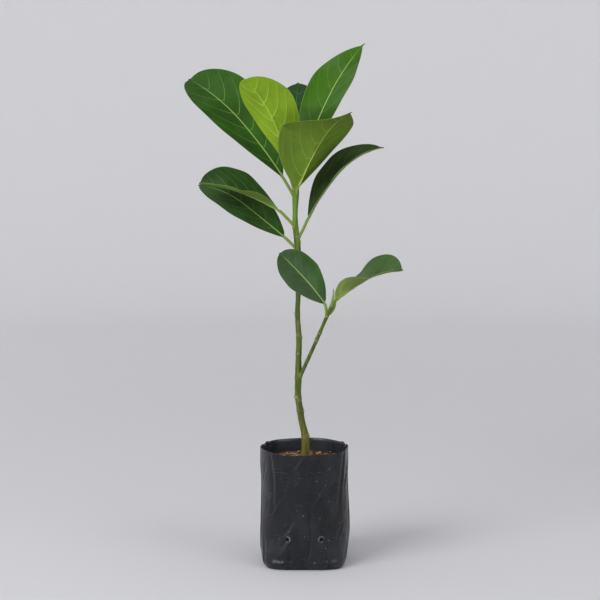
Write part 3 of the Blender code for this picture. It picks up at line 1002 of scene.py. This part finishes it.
LEAVES = (
    Leaf("leaf_lowest_left", height=0.334, petiole=0.019, blade=0.117, widths=(0.0285, 0.0285),
         headings=(175, 165, 158, 158, 155), rises=(48, 42, 37, 35, 4), rolls=(-26, -26, -26),
         left_folds=(2, 2, 2), right_folds=(2, 2, 2), foot_power=0.85,
         finish=LeafFinish((40, 72, 25), (84, 108, 58), vein_strength=0.28, ladder_strength=0.05)),
    Leaf("leaf_middle_right", height=0.345, petiole=0.024, blade=0.115, widths=(0.028, 0.028),
         headings=(0, 0, 5, 5, 5), rises=(58, 68, 62, 50, 10), rolls=(16, 11, 10),
         left_folds=(30, 18, 12), right_folds=(19, 14, 11), point=0.030,
         finish=LeafFinish((32, 48, 16), (112, 134, 74), vein_strength=0.16, ladder_strength=0.04)),
    Leaf("leaf_middle_left", height=0.359, petiole=0.023, blade=0.091, widths=(0.0265, 0.0265),
         headings=(180, 180, 180, 180, 180), rises=(46, 46, 32, 20, 4), rolls=(7, -22, -25),
         left_folds=(36, 25, 25), right_folds=(36, 25, 25), widest=0.66, tip_powers=(0.5, 0.5),
         finish=LeafFinish((36, 66, 24), (104, 130, 58), vein_strength=0.32, ladder_strength=0.06, coat=0.4)),
    Leaf("leaf_upper_left", height=0.388, petiole=0.025, blade=0.161, widths=(0.036, 0.037),
         headings=(165, 156, 150, 150, 148), rises=(61, 56, 53, 44, 23), rolls=(-34, -34, -34),
         left_folds=(14, 14, 14), right_folds=(14, 14, 14), foot_power=1.0, widest=0.65,
         tip_powers=(0.45, 0.40), point=0.012, quilting=0.00035,
         finish=LeafFinish((36, 73, 14), (96, 122, 58), vein=(100, 142, 60))),
    Leaf("leaf_upper_right", height=0.389, petiole=0.035, blade=0.156, widths=(0.031, 0.0275),
         headings=(35, 42, 42, 38, 35), rises=(76, 75, 68, 58, 42), rolls=(10, 10, 10),
         left_folds=(8, 8, 8), right_folds=(7, 7, 7), foot_power=1.1, widest=0.62,
         tip_powers=(0.75, 0.85), point=0.030, quilting=0.00035,
         finish=LeafFinish((48, 87, 8), (110, 140, 60), rib=(160, 190, 96), vein=(88, 138, 48),
                           ladder_strength=0.20, coat=0.4)),
    Leaf("leaf_back", height=0.395, petiole=0.031, blade=0.113, widths=(0.030, 0.030),
         headings=(105, 95, 86, 86, 86), rises=(62, 60, 68, 50, 40), rolls=(0, 0, 0),
         left_folds=(-12, -12, -8), right_folds=(-2, 0, 5),
         finish=LeafFinish((26, 58, 30), (96, 122, 66), rib=(62, 96, 56), vein_strength=0.3, coat=0.4)),
    Leaf("leaf_young", height=0.392, petiole=0.032, blade=0.112, widths=(0.0295, 0.0295),
         headings=(215, 215, 225, 225, 225), rises=(70, 74, 75, 56, 34), rolls=(21, 21, 21),
         left_folds=(15, 15, 15), right_folds=(15, 15, 15), foot_power=1.0, widest=0.62,
         tip_powers=(0.55, 0.55), point=0.015, veins=5, quilting=0.00045, slot=Slot.FRESH,
         finish=LeafFinish((112, 150, 46), (124, 158, 34), rib=(176, 202, 92), vein=(174, 204, 84),
                           vein_strength=0.85, ladder_strength=0.22)),
    Leaf("leaf_front", height=0.386, petiole=0.014, blade=0.120, widths=(0.037, 0.043),
         headings=(-60, -60, -46, -50, -52), rises=(75, 72, 61, 48, 16), rolls=(-10, -10, -10),
         left_folds=(20, 14, -5), right_folds=(25, 20, -35), foot_power=0.8, widest=0.52,
         tip_powers=(0.95, 1.0), point=0.030, veins=5, quilting=0.00035, slot=Slot.FRESH,
         finish=LeafFinish((88, 122, 44), (92, 119, 38), rib=(160, 186, 84), vein=(138, 166, 72),
                           grey_tip=0.8, ladder_strength=0.14)),
    Leaf("leaf_branch_left", height=0.0815, petiole=0.013, blade=0.072, widths=(0.0275, 0.0210),
         headings=(110, 140, 172, 172, 172), rises=(85, 75, 54, 47, 42), rolls=(-38, -38, -38),
         left_folds=(3, 3, 3), right_folds=(20, 20, 20), foot_power=0.85, widest=0.60,
         tip_powers=(0.5, 0.42), point=0.015, bearer=Bearer.BRANCH, quilting=0.00012,
         finish=LeafFinish((48, 80, 32), (104, 128, 66), vein=(92, 128, 66), vein_strength=0.2,
                           ladder_strength=0.05, coat=0.9)),
    Leaf("leaf_branch_right", height=0.0840, petiole=0.017, blade=0.080, widths=(0.027, 0.028),
         headings=(5, 0, 5, 5, 5), rises=(28, 88, 38, 29, -2), rolls=(-45, 8, 28),
         left_folds=(40, 2, 26), right_folds=(50, 12, 24), foot_power=0.75, widest=0.70,
         tip_powers=(0.42, 0.42), bearer=Bearer.BRANCH,
         finish=LeafFinish((52, 80, 38), (126, 142, 74), vein_strength=0.28, coat=0.5)),
)


# The bag and what fills it

@dataclass
class Pot:
    """The film bag, with its folds and drain holes, and the potting mix in it."""

    height: float = 0.1245
    film: float = 0.0005
    wall: float = 0.0010
    clear: float = 0.0010
    rim_waver: float = 0.0006
    sides: int = 400
    levels: int = 140
    # Height, then half its width, half its depth and how square it is there.
    profile: tuple = (
        (0.000, 0.0415, 0.0385, 4.6),
        (0.004, 0.0440, 0.0420, 4.0),
        (0.012, 0.0458, 0.0450, 3.1),
        (0.024, 0.0468, 0.0464, 2.4),
        (0.038, 0.0475, 0.0472, 2.05),
        (0.060, 0.0471, 0.0469, 2.0),
        (0.085, 0.0462, 0.0462, 2.0),
        (0.110, 0.0466, 0.0466, 2.0),
        (0.1245, 0.0470, 0.0470, 2.0),
    )
    # Bearings of the rim's two notches in degrees, and the side on which the film rises again.
    notches: tuple = ((158, -1), (20, 1))
    notch_depth: float = 0.0011
    # Folds of the foot's corners: bearing, degrees that they lean for each metre, and strength.
    corner_folds: tuple = (
        (-118, 210, 1.0), (-62, -260, 0.9), (62, 240, 0.8), (118, -220, 0.9),
        (-150, -160, 0.5), (-30, 180, 0.5), (30, -170, 0.5), (150, 150, 0.5),
    )
    corner_crest: float = 0.0008
    corner_valley: float = 0.0018
    # Long upright folds: bearing, width in degrees, depth, and where they start and end as shares
    # of the bag's height.
    long_folds: tuple = (
        (-88, 1.4, -0.0008, 0.02, 0.60), (-176, 2.2, -0.0009, 0.05, 1.0), (-4, 2.0, -0.0009, 0.0, 1.0),
        (90, 1.8, -0.0006, 0.0, 1.0), (-140, 3.0, -0.0005, 0.45, 1.05), (-35, 2.6, -0.0006, 0.50, 1.05),
        (-60, 2.0, -0.0003, 0.35, 0.9), (35, 3.0, -0.0005, 0.3, 1.0), (140, 3.0, -0.0005, 0.3, 1.0),
        (-120, 2.0, -0.00035, 0.5, 1.0),
    )
    # Short slanting puckers: bearing, and height as a share of the bag's.
    puckers: tuple = (
        (-165, 0.86), (-158, 0.78), (-15, 0.84), (-22, 0.74), (-100, 0.93), (150, 0.85), (25, 0.88),
        (-118, 0.22), (-112, 0.36), (-58, 0.42), (-75, 0.62), (-130, 0.55), (-40, 0.30), (100, 0.5),
        (60, 0.35), (120, 0.7),
    )
    pucker_depth: float = 0.0007
    pucker_crest: float = 0.0004
    pucker_width: float = 2.6
    # Tucks across the foot's four corners.
    tucks: tuple = (-118, -62, 62, 118)
    tuck_height: float = 0.0075
    tuck_rise: float = 0.0008
    # Fine wrinkles and slow buckles all over: their size and depth.
    wrinkle: tuple = (0.014, 0.00016)
    buckle: tuple = (0.042, 0.00045)
    proudest: float = 0.0008
    drain_height: float = 0.0345
    drain_radius: float = 0.0020
    drain_bearings: tuple = (-112, -68, 0, 68, 112, 180)
    soil_level: float = 0.1115
    soil_reach: float = 0.0445
    stem_clear: float = 0.0062
    soil_sides: int = 150
    soil_rings: int = 56
    chips: int = 1300
    fibres: int = 420

    def reach(self, height: float, bearing: np.ndarray, inset: float = 0.0) -> np.ndarray:
        """Finds how far the bag reaches: square at its foot, round above.

        Args:
            height: the height.
            bearing: angles in radians.
            inset: how far inside the outer skin it is.

        Returns:
            Distances from the bag's middle line.
        """
        height = max(0.0, height - inset * 0.5)
        width, depth, corners = (float(v) for v in spline(self.profile, [height])[0])
        x, y = np.abs(np.cos(bearing)) / (width - inset), np.abs(np.sin(bearing)) / (depth - inset)
        ripple = 0.0005 * np.cos(3 * bearing + 1.0) + 0.0003 * np.cos(7 * bearing + 0.4 + 30 * height)
        return (x ** corners + y ** corners) ** (-1 / corners) + ripple * ease(height / 0.04)

    def creases(self, height: float, bearing: np.ndarray) -> np.ndarray:
        """Finds how far the film's folds stand in or out.

        Args:
            height: the height.
            bearing: angles in radians.

        Returns:
            The distances, below 0 where the film is drawn in.
        """
        degrees = np.degrees(bearing)
        out = np.zeros(len(bearing))
        up = height / self.height
        rise_of_corners = ease((0.040 - height) / 0.026) * ease(height / 0.003)
        for corner, lean, strength in self.corner_folds:
            away = degrees_from(corner + lean * height * (1 + 6 * height), degrees)
            fold = self.corner_crest * hump(away, 1.8) - self.corner_valley * hump(away - 5, 3.0)
            out += strength * rise_of_corners * fold
        for line, wide, deep, low, high in self.long_folds:
            away = degrees_from(line + 6 * math.sin(5 * up + line), degrees)
            fade = ease((up - low) / 0.12) * ease((high - up) / 0.12)
            out += fade * deep * 1.5 * (hump(away, wide) - 0.5 * hump(away - 2 * wide, wide))
        for line, level in self.puckers:
            away = degrees_from(line + 90 * (up - level), degrees)
            crest = self.pucker_crest * hump(away - 5, self.pucker_width)
            out += hump(up - level, 0.06) * (crest - self.pucker_depth * hump(away, self.pucker_width))
        above = height - self.tuck_height
        tuck = self.tuck_rise * (hump(above, 0.0022) - 0.8 * hump(above - 0.0050, 0.0030))
        for corner in self.tucks:
            out += tuck * hump(degrees_from(corner, degrees), 17)
        return out

    def film_ring(self, height: float, inset: float) -> np.ndarray:
        """Makes one ring of the bag's skin.

        Args:
            height: its height, before the rim's waver.
            inset: how far inside the outer skin it is.

        Returns:
            Its points.
        """
        bearing = bearings(self.sides)
        rim = ease((height - 0.1) / 0.02)
        waver = 0.6 * np.sin(2 * bearing + 0.8) + 0.4 * np.sin(5 * bearing + 2.0)
        level = height + rim * self.rim_waver * waver
        for notch, side in self.notches:
            away = degrees_from(notch, np.degrees(bearing))
            level += rim * self.notch_depth * (hump(away - 6 * side, 4) - hump(away, 4))
        reach = self.reach(height, bearing, inset)
        place = np.stack([reach * np.cos(bearing), reach * np.sin(bearing), level], 1)
        moved = self.creases(height, bearing)
        moved += self.wrinkle[1] * ripples(place * np.array([1, 1, 0.55]), self.wrinkle[0], 21, 3)
        moved += self.buckle[1] * ripples(place * np.array([1, 1, 0.35]), self.buckle[0], 22, 2)
        moved = np.minimum(moved, self.proudest) * ease(height / 0.004)
        place[:, 0] += moved * np.cos(bearing)
        place[:, 1] += moved * np.sin(bearing)
        return place

    def build_bag(self, material: bpy.types.Material) -> bpy.types.Object:
        """Makes the bag with its wrinkles, then cuts its drain holes.

        Args:
            material: its finish.

        Returns:
            The piece, which stands for the bag's solid.
        """
        low = np.array([0.0, 0.0004, 0.0010, 0.0018, 0.0028, 0.004])
        heights = np.concatenate([low, np.linspace(0.0055, self.height, self.levels)])
        outside = [self.film_ring(z, 0.0) for z in heights]
        top = self.film_ring(self.height, self.film * 0.5)
        top[:, 2] += self.film * 0.3
        inside = [self.film_ring(max(z, self.film), self.film) for z in heights[::-4]]
        within = np.repeat([0.0] * len(outside) + [1.0] * (len(inside) + 1), self.sides)
        rings = np.array(outside + [top] + inside)
        piece = facing_out(lofted("bag_film", rings, material, {"within": within}, 60))
        for number, place in enumerate(self.drains()):
            self.punch(piece, number, place)
        return show(piece, Slot.FILM, "grow_bag")

    def drains(self) -> tuple:
        """Finds the middles of the drain holes.

        Returns:
            Points on the film.
        """
        found = []
        for bearing in np.radians(self.drain_bearings):
            reach = float(self.reach(self.drain_height, np.array([bearing]))[0])
            found.append((reach * math.cos(bearing), reach * math.sin(bearing), self.drain_height))
        return tuple(found)

    def punch(self, piece: bpy.types.Object, number: int, place: tuple) -> None:
        """Cuts one drain hole through the film.

        Args:
            piece: the bag.
            number: the hole's number.
            place: its middle.
        """
        edit = bmesh.new()
        bmesh.ops.create_cone(edit, cap_ends=True, segments=28, radius1=self.drain_radius,
                              radius2=self.drain_radius, depth=0.010)
        mesh = bpy.data.meshes.new(f"peg_{number}")
        edit.to_mesh(mesh)
        edit.free()
        peg = bpy.data.objects.new(f"peg_{number}", mesh)
        bpy.context.scene.collection.objects.link(peg)
        peg.location = place
        peg.rotation_euler = (0, math.pi / 2, math.atan2(place[1], place[0]))
        trim = piece.modifiers.new("drain", "BOOLEAN")
        trim.operation = "DIFFERENCE"
        trim.object = peg
        bpy.context.view_layer.objects.active = piece
        bpy.ops.object.modifier_apply(modifier=trim.name)
        bpy.data.objects.remove(peg)

    def soil_height(self, x: np.ndarray, y: np.ndarray) -> np.ndarray:
        """Finds the mix's uneven top: heaped a little at the stem, and lower along the film.

        Args:
            x, y: places.

        Returns:
            The heights there.
        """
        points = np.stack([x, y, np.zeros_like(x)], 1)
        far = np.hypot(x, y) / self.soil_reach
        heap = 0.0012 * hump(far, 0.35) - 0.0016 * smooth((far - 0.75) / 0.25)
        lumps = 0.0009 * ripples(points, 0.016, 31, 3) + 0.0005 * np.abs(ripples(points, 0.005, 32, 2))
        return self.soil_level + np.clip(heap + lumps - 0.0006, -0.0045, 0.0016)

    def build_mix(self, material: bpy.types.Material) -> bpy.types.Object:
        """Makes the body of the mix, whose top is lumpy.

        Args:
            material: its finish.

        Returns:
            The piece, which stands for the mix's solid.
        """
        bearing = bearings(self.soil_sides)
        inset = self.wall + self.clear * 0.4
        low = [self.wall + 0.0003, 0.006, 0.012, 0.024]
        loops = []
        for z in np.concatenate([low, np.linspace(0.04, 0.104, 6)]):
            reach = self.reach(z, bearing, inset)
            x, y = reach * np.cos(bearing), reach * np.sin(bearing)
            loops.append(np.stack([x, y, np.full(len(reach), z)], 1))
        edge = self.reach(0.110, bearing, inset)
        for share in np.linspace(1, 0.03, self.soil_rings):
            x, y = share * edge * np.cos(bearing), share * edge * np.sin(bearing)
            loops.append(np.stack([x, y, self.soil_height(x, y)], 1))
        piece = facing_out(lofted("mix_body", np.array(loops), material, None, 60))
        return show(piece, Slot.MIX, "potting_mix")

    def build_chips(self, material: bpy.types.Material) -> bpy.types.Object:
        """Scatters coir chips, crumbs and fibres over the mix.

        Args:
            material: their finish.

        Returns:
            One piece that holds them all, each a small closed shape.
        """
        pick = random.Random(11)
        points, faces, shade = [], [], []
        for _ in range(self.chips):
            size = pick.uniform(0.0004, 0.0015) * (1.4 if pick.random() < 0.15 else 1)
            self.add_chip(pick, size, points, faces, shade)
        for _ in range(self.fibres):
            self.add_fibre(pick, points, faces, shade)
        piece = mesh_piece("mix_chips", np.array(points), faces, None, material, {"shade": shade}, 30)
        return show(piece, Slot.MIX)

    def spot(self, pick: random.Random, margin: float) -> tuple[float, float, float]:
        """Picks a place on the mix's top, clear of the film and of the stem.

        Args:
            pick: the source of random numbers.
            margin: how much farther off it keeps.

        Returns:
            The place.
        """
        while True:
            turn = pick.uniform(0, 2 * math.pi)
            far = self.soil_reach * pick.random() ** 0.5
            x, y = far * math.cos(turn), far * math.sin(turn)
            clear_of_stem = math.hypot(x - 0.0015, y) > self.stem_clear + margin
            if far < self.soil_reach - 0.0009 - margin and clear_of_stem:
                return x, y, float(self.soil_height(np.array([x]), np.array([y]))[0])

    def add_chip(self, pick: random.Random, size: float, points: list, faces: list, shade: list) -> None:
        """Adds one chip: a flattened block whose corners are knocked about.

        Args:
            pick: the source of random numbers.
            size: about half its length.
            points, faces, shade: the lists that it is added to.
        """
        x, y, z = self.spot(pick, size)
        first = len(points)
        turn, tip = pick.uniform(0, math.pi), pick.uniform(-0.5, 0.5)
        sizes = tuple(size * pick.uniform(*span) for span in ((0.8, 1.6), (0.5, 1.0), (0.25, 0.6)))
        tone = pick.random()
        for k in range(8):
            signs = (1 if k >> axis & 1 else -1 for axis in range(3))
            a, b, c = (half * sign * pick.uniform(0.65, 1.1) for half, sign in zip(sizes, signs))
            a, c = a * math.cos(tip) - c * math.sin(tip), a * math.sin(tip) + c * math.cos(tip)
            points.append((x + a * math.cos(turn) - b * math.sin(turn),
                           y + a * math.sin(turn) + b * math.cos(turn), z + c + sizes[2] * 0.5))
            shade.append(tone)
        for corners in ((0, 2, 3, 1), (4, 5, 7, 6), (0, 1, 5, 4), (2, 6, 7, 3), (0, 4, 6, 2), (1, 3, 7, 5)):
            faces.append(tuple(first + k for k in corners))

    def add_fibre(self, pick: random.Random, points: list, faces: list, shade: list) -> None:
        """Adds one coir fibre: a thin bent strand that lies on the mix.

        Args:
            pick: the source of random numbers.
            points, faces, shade: the lists that it is added to.
        """
        length, thick = pick.uniform(0.004, 0.011), pick.uniform(0.00009, 0.00020)
        x, y, _ = self.spot(pick, length * 0.6)
        turn, bend = pick.uniform(0, 2 * math.pi), pick.uniform(-1.4, 1.4)
        tone, arch = pick.uniform(0.5, 1.0), pick.uniform(0.0002, 0.0012)
        first, rings = len(points), 7
        for r in range(rings):
            share = r / (rings - 1)
            angle = turn + bend * (share - 0.5)
            out = length * (share - 0.5)
            px, py = x + out * math.cos(angle), y + out * math.sin(angle)
            ground = float(self.soil_height(np.array([px]), np.array([py]))[0])
            pz = ground + arch * math.sin(math.pi * share) + thick
            for k in range(4):
                roll = k * math.pi / 2
                points.append((px - thick * math.cos(roll) * math.sin(angle),
                               py + thick * math.cos(roll) * math.cos(angle), pz + thick * math.sin(roll)))
                shade.append(tone)
        for r in range(rings - 1):
            for k in range(4):
                low, high = first + 4 * r, first + 4 * (r + 1)
                faces.append((low + k, low + (k + 1) % 4, high + (k + 1) % 4, high + k))
        faces.append(tuple(first + k for k in range(4))[::-1])
        faces.append(tuple(first + 4 * (rings - 1) + k for k in range(4)))


# Finishes of the stems, the bag and the mix

@dataclass(frozen=True)
class BarkFinish:
    """Smooth young bark: brown and rough at the foot, bright green at the top."""

    foot: tuple = (104, 100, 40)
    middle: tuple = (82, 100, 34)
    top: tuple = (96, 130, 38)
    scar: tuple = (168, 160, 120)
    streak: tuple = (44, 52, 18)
    blotch: tuple = (138, 128, 84)
    pore: tuple = (150, 142, 100)

    def paint(self) -> bpy.types.Material:
        """Makes the bark's material.

        Returns:
            Streaked and blotched bark, with pale scars and pores.
        """
        paint = Paint("young_bark")
        height = paint.height()
        streaks = paint.noise(300, 4, (1, 1, 0.12))
        blotches = paint.noise(90, 3)
        tone = paint.mix(height.between(0.118, 0.200), linear(*self.foot), linear(*self.middle))
        tone = paint.mix(height.between(0.30, 0.39), tone, linear(*self.top))
        tone = paint.mix(streaks.between(0.42, 0.66) * 0.62, tone, linear(*self.streak))
        tone = paint.mix(blotches.between(0.56, 0.70) * 0.40, tone, linear(*self.blotch))
        tone = paint.mix(paint.measured("scar").between(0.35, 0.95) * 0.55, tone, linear(*self.scar))
        pores = paint.specks(900, 0.20) * blotches.between(0.50, 0.60)
        tone = paint.mix(pores * 0.5, tone, linear(*self.pore))
        return paint.finish(Base_Color=tone, Roughness=0.50 + streaks * 0.2, Specular_IOR_Level=0.25,
                            Normal=paint.bump(streaks + pores * 0.6, 0.6, 0.0005))


@dataclass(frozen=True)
class SheathFinish:
    """The bud's smooth green sheath."""

    colour: tuple = (122, 142, 62)
    streak: tuple = (96, 116, 48)

    def paint(self) -> bpy.types.Material:
        """Makes the sheath's material.

        Returns:
            A lightly streaked green skin.
        """
        paint = Paint("green_sheath")
        streaks = paint.noise(700, 3, (1, 1, 0.1))
        tone = paint.mix(streaks.between(0.35, 0.70), linear(*self.streak), linear(*self.colour))
        return paint.finish(Base_Color=tone, Roughness=0.42, Normal=paint.bump(streaks, 0.3, 0.0002))


@dataclass(frozen=True)
class FilmFinish:
    """Black polythene film with dust and fine scratches, painted sheen on its inside and painted highlights
    round its drain holes.
    """

    black: tuple = (13, 15, 20)
    dusty: tuple = (44, 46, 53)
    inside_sheen: tuple = (46, 50, 54)
    hole_highlight: tuple = (128, 130, 136)
    lowest_band: tuple = (6, 6, 7)
    dust: tuple = (160, 158, 154)
    crumb: tuple = (132, 122, 108)
    scratch: tuple = (120, 120, 124)
    holes: tuple = ()

    def paint(self) -> bpy.types.Material:
        """Makes the film's material.

        Returns:
            Glossy black film with haze, dust and scratches, with painted sheen on its inside and painted
            highlights round its holes.
        """
        paint = Paint("black_film")
        height = paint.height()
        cloud = paint.noise(34, 4)
        drawn = paint.noise(260, 3, (1, 1, 0.16))
        dust = paint.specks(130, 0.095) * cloud.between(0.44, 0.58)
        crumbs = paint.specks(420, 0.12) * paint.noise(60, 2).between(0.58, 0.66)
        low = 1 - height.between(0.004, 0.050)
        haze = cloud.between(0.42, 0.66) * 0.34 + low * 0.16
        tone = paint.mix(haze, linear(*self.black), linear(*self.dusty))
        # Painted sheen: the film's inside is painted lighter, standing in for light on it.
        tone = paint.mix(paint.measured("within") * 0.85, tone, linear(*self.inside_sheen))
        # Near black along the lowest couple of millimetres of the film, where it meets the floor.
        tone = paint.mix(1 - height.between(0.0008, 0.0024), tone, linear(*self.lowest_band))
        tone = paint.mix(dust * 0.7, tone, linear(*self.dust))
        tone = paint.mix(crumbs * 0.6, tone, linear(*self.crumb))
        scratch = paint.noise(900, 2, (0.10, 0.10, 1.0)).between(0.66, 0.72)
        tone = paint.mix(scratch * 0.16, tone, linear(*self.scratch))
        # Painted highlights: pale broken rings round the drain holes.
        for hole in self.holes:
            far = paint.far_from(hole)
            ring = far.between(0.0021, 0.0026) * (1 - far.between(0.0030, 0.0042))
            tone = paint.mix(ring * drawn.between(0.42, 0.58) * 0.5, tone, linear(*self.hole_highlight))
        rough = 0.14 + cloud * 0.26 + dust * 0.4 + scratch * 0.1
        return paint.finish(Base_Color=tone, Roughness=rough, Specular_IOR_Level=0.36,
                            Normal=paint.bump(drawn * 0.5 + cloud * 1.2, 0.45, 0.0012))


@dataclass(frozen=True)
class MixFinish:
    """Damp coir: orange-brown fibre with darker crumbs."""

    light: tuple = (108, 66, 39)
    dark: tuple = (44, 25, 15)
    patch: tuple = (60, 34, 20)
    painted_shade: tuple = (14, 11, 9)
    chip_dark: tuple = (36, 23, 15)
    chip_light: tuple = (126, 84, 52)
    pale_fibre: tuple = (206, 170, 116)

    def paint(self) -> bpy.types.Material:
        """Makes the material of the mix's body.

        Returns:
            Grained brown coir, with painted shade: near black below its top, inside the bag.
        """
        paint = Paint("coir_mix")
        grains = paint.noise(900, 5)
        patches = paint.noise(160, 3)
        tone = paint.mix(grains.between(0.35, 0.65), linear(*self.dark), linear(*self.light))
        tone = paint.mix(patches.between(0.5, 0.7) * 0.5, tone, linear(*self.patch))
        height = paint.height()
        # Painted shade: below its top the mix is near black, standing in for the shade inside the bag.
        tone = paint.mix(1 - height.between(0.085, 0.106), tone, linear(*self.painted_shade))
        return paint.finish(Base_Color=tone, Roughness=0.95, Normal=paint.bump(grains, 0.9, 0.0012))

    def paint_chips(self) -> bpy.types.Material:
        """Makes the chips' and fibres' material.

        Returns:
            Dull coir, whose tone each chip and fibre holds.
        """
        paint = Paint("coir_chips")
        shade = paint.measured("shade")
        tone = paint.mix(shade.between(0.1, 0.9), linear(*self.chip_dark), linear(*self.chip_light))
        tone = paint.mix(shade.between(0.84, 0.90), tone, linear(*self.pale_fibre))
        return paint.finish(Base_Color=tone, Roughness=0.9)


# The room

@dataclass(frozen=True)
class Lamp:
    """One soft square light, with where it stands, what it faces, its side in metres and its watts."""

    name: str
    place: tuple
    aim: tuple
    size: float
    power: float

    def build(self) -> None:
        """Adds the light, which lights the room but isn't seen itself."""
        light = bpy.data.lights.new(self.name, "AREA")
        light.shape = "SQUARE"
        light.size = self.size
        light.energy = self.power
        made = bpy.data.objects.new(self.name, light)
        made.location = self.place
        made.rotation_euler = (Vector(self.aim) - Vector(self.place)).to_track_quat("-Z", "Y").to_euler()
        made.visible_camera = False
        bpy.context.scene.collection.objects.link(made)


@dataclass
class Studio:
    """A pale floor that bends up into a wall, soft lights and the camera."""

    eye: tuple = (-0.004594, -1.746884, 0.490078)
    pitch: float = 6.8
    lens: float = 100.0
    sensor: float = 36.0
    floor_colour: tuple = (200, 200, 203)
    far_lit_colour: tuple = (222, 222, 225)
    floor: float = 1.9
    bend: float = 1.2
    wall_height: float = 3.0
    wall_sides: int = 96
    sky: float = 0.35
    lamps: tuple = (
        Lamp("window_left", (-2.0, -1.8, 1.7), (0, 0, 0.4), 1.6, 61),
        Lamp("window_right", (2.1, -1.6, 1.4), (0, 0, 0.4), 1.4, 15),
        Lamp("overhead", (0.0, -0.5, 2.9), (0, 0.8, 0.2), 2.4, 25),
    )

    def build_backdrop(self) -> None:
        """Makes one round sheet: a level floor whose edge bends up into a wall on every side."""
        paint = Paint("backdrop")
        # Painted light: the one paper sheet is painted lighter with distance from the plant, on the far floor
        # and the wall.
        far = paint.far_from((0.0, 0.0, 0.0))
        tone = paint.mix(far.between(0.4, 2.3), linear(*self.floor_colour), linear(*self.far_lit_colour))
        sheet = paint.finish(Base_Color=tone, Roughness=0.85, Specular_IOR_Level=0.2)
        turn = np.linspace(0, math.pi / 2, 24)
        outline = [(self.floor * 0.3, 0.0)]
        outline += [(self.floor + self.bend * math.sin(t), self.bend - self.bend * math.cos(t)) for t in turn]
        outline.append((self.floor + self.bend, self.wall_height))
        sides = self.wall_sides
        ways = direction(np.degrees(bearings(sides)), np.zeros(sides))
        points = [out * way + np.array([0, 0, up]) for out, up in outline for way in ways]
        faces = [tuple(range(sides))]
        for ring in range(len(outline) - 1):
            for i in range(sides):
                low, after = ring * sides, (i + 1) % sides
                faces.append((low + i, low + sides + i, low + sides + after, low + after))
        floor = mesh_piece("backdrop", np.array(points), faces, None, sheet)

    def build_lights(self) -> None:
        """Lights the room softly, most of all from the left."""
        world = bpy.data.worlds.new("room")
        world.use_nodes = True
        sky = world.node_tree.nodes["Background"]
        sky.inputs["Color"].default_value = (1, 1, 1, 1)
        sky.inputs["Strength"].default_value = self.sky
        bpy.context.scene.world = world
        for lamp in self.lamps:
            lamp.build()

    def build_camera(self) -> None:
        """Stands the camera a little above the plant's middle, looking slightly down."""
        camera = bpy.data.cameras.new("camera")
        camera.lens = self.lens
        camera.sensor_width = self.sensor
        made = bpy.data.objects.new("camera", camera)
        made.location = self.eye
        made.rotation_euler = (math.radians(90 - self.pitch), 0, 0)
        bpy.context.scene.collection.objects.link(made)
        bpy.context.scene.camera = made

    def build(self) -> None:
        """Builds the whole room."""
        self.build_camera()
        self.build_backdrop()
        self.build_lights()
        bpy.context.scene.view_settings.view_transform = "Standard"


def main() -> None:
    """Builds the room, the pot, the stems and the leaves in order."""
    logging.basicConfig(level=logging.INFO, format="%(name)s: %(message)s", stream=sys.stdout)
    Studio().build()
    pot = Pot()
    pot.build_bag(FilmFinish(holes=pot.drains()).paint())
    mix = MixFinish()
    pot.build_mix(mix.paint())
    pot.build_chips(mix.paint_chips())
    stem = Stem()
    bark = BarkFinish().paint()
    stem.build_trunk(bark)
    stem.build_branch(bark)
    stem.build_bud(SheathFinish().paint())
    foliage = Foliage(stem, LEAVES)
    for leaf in foliage.leaves:
        foliage.build_leaf(leaf)


if __name__ == "__main__":
    main()
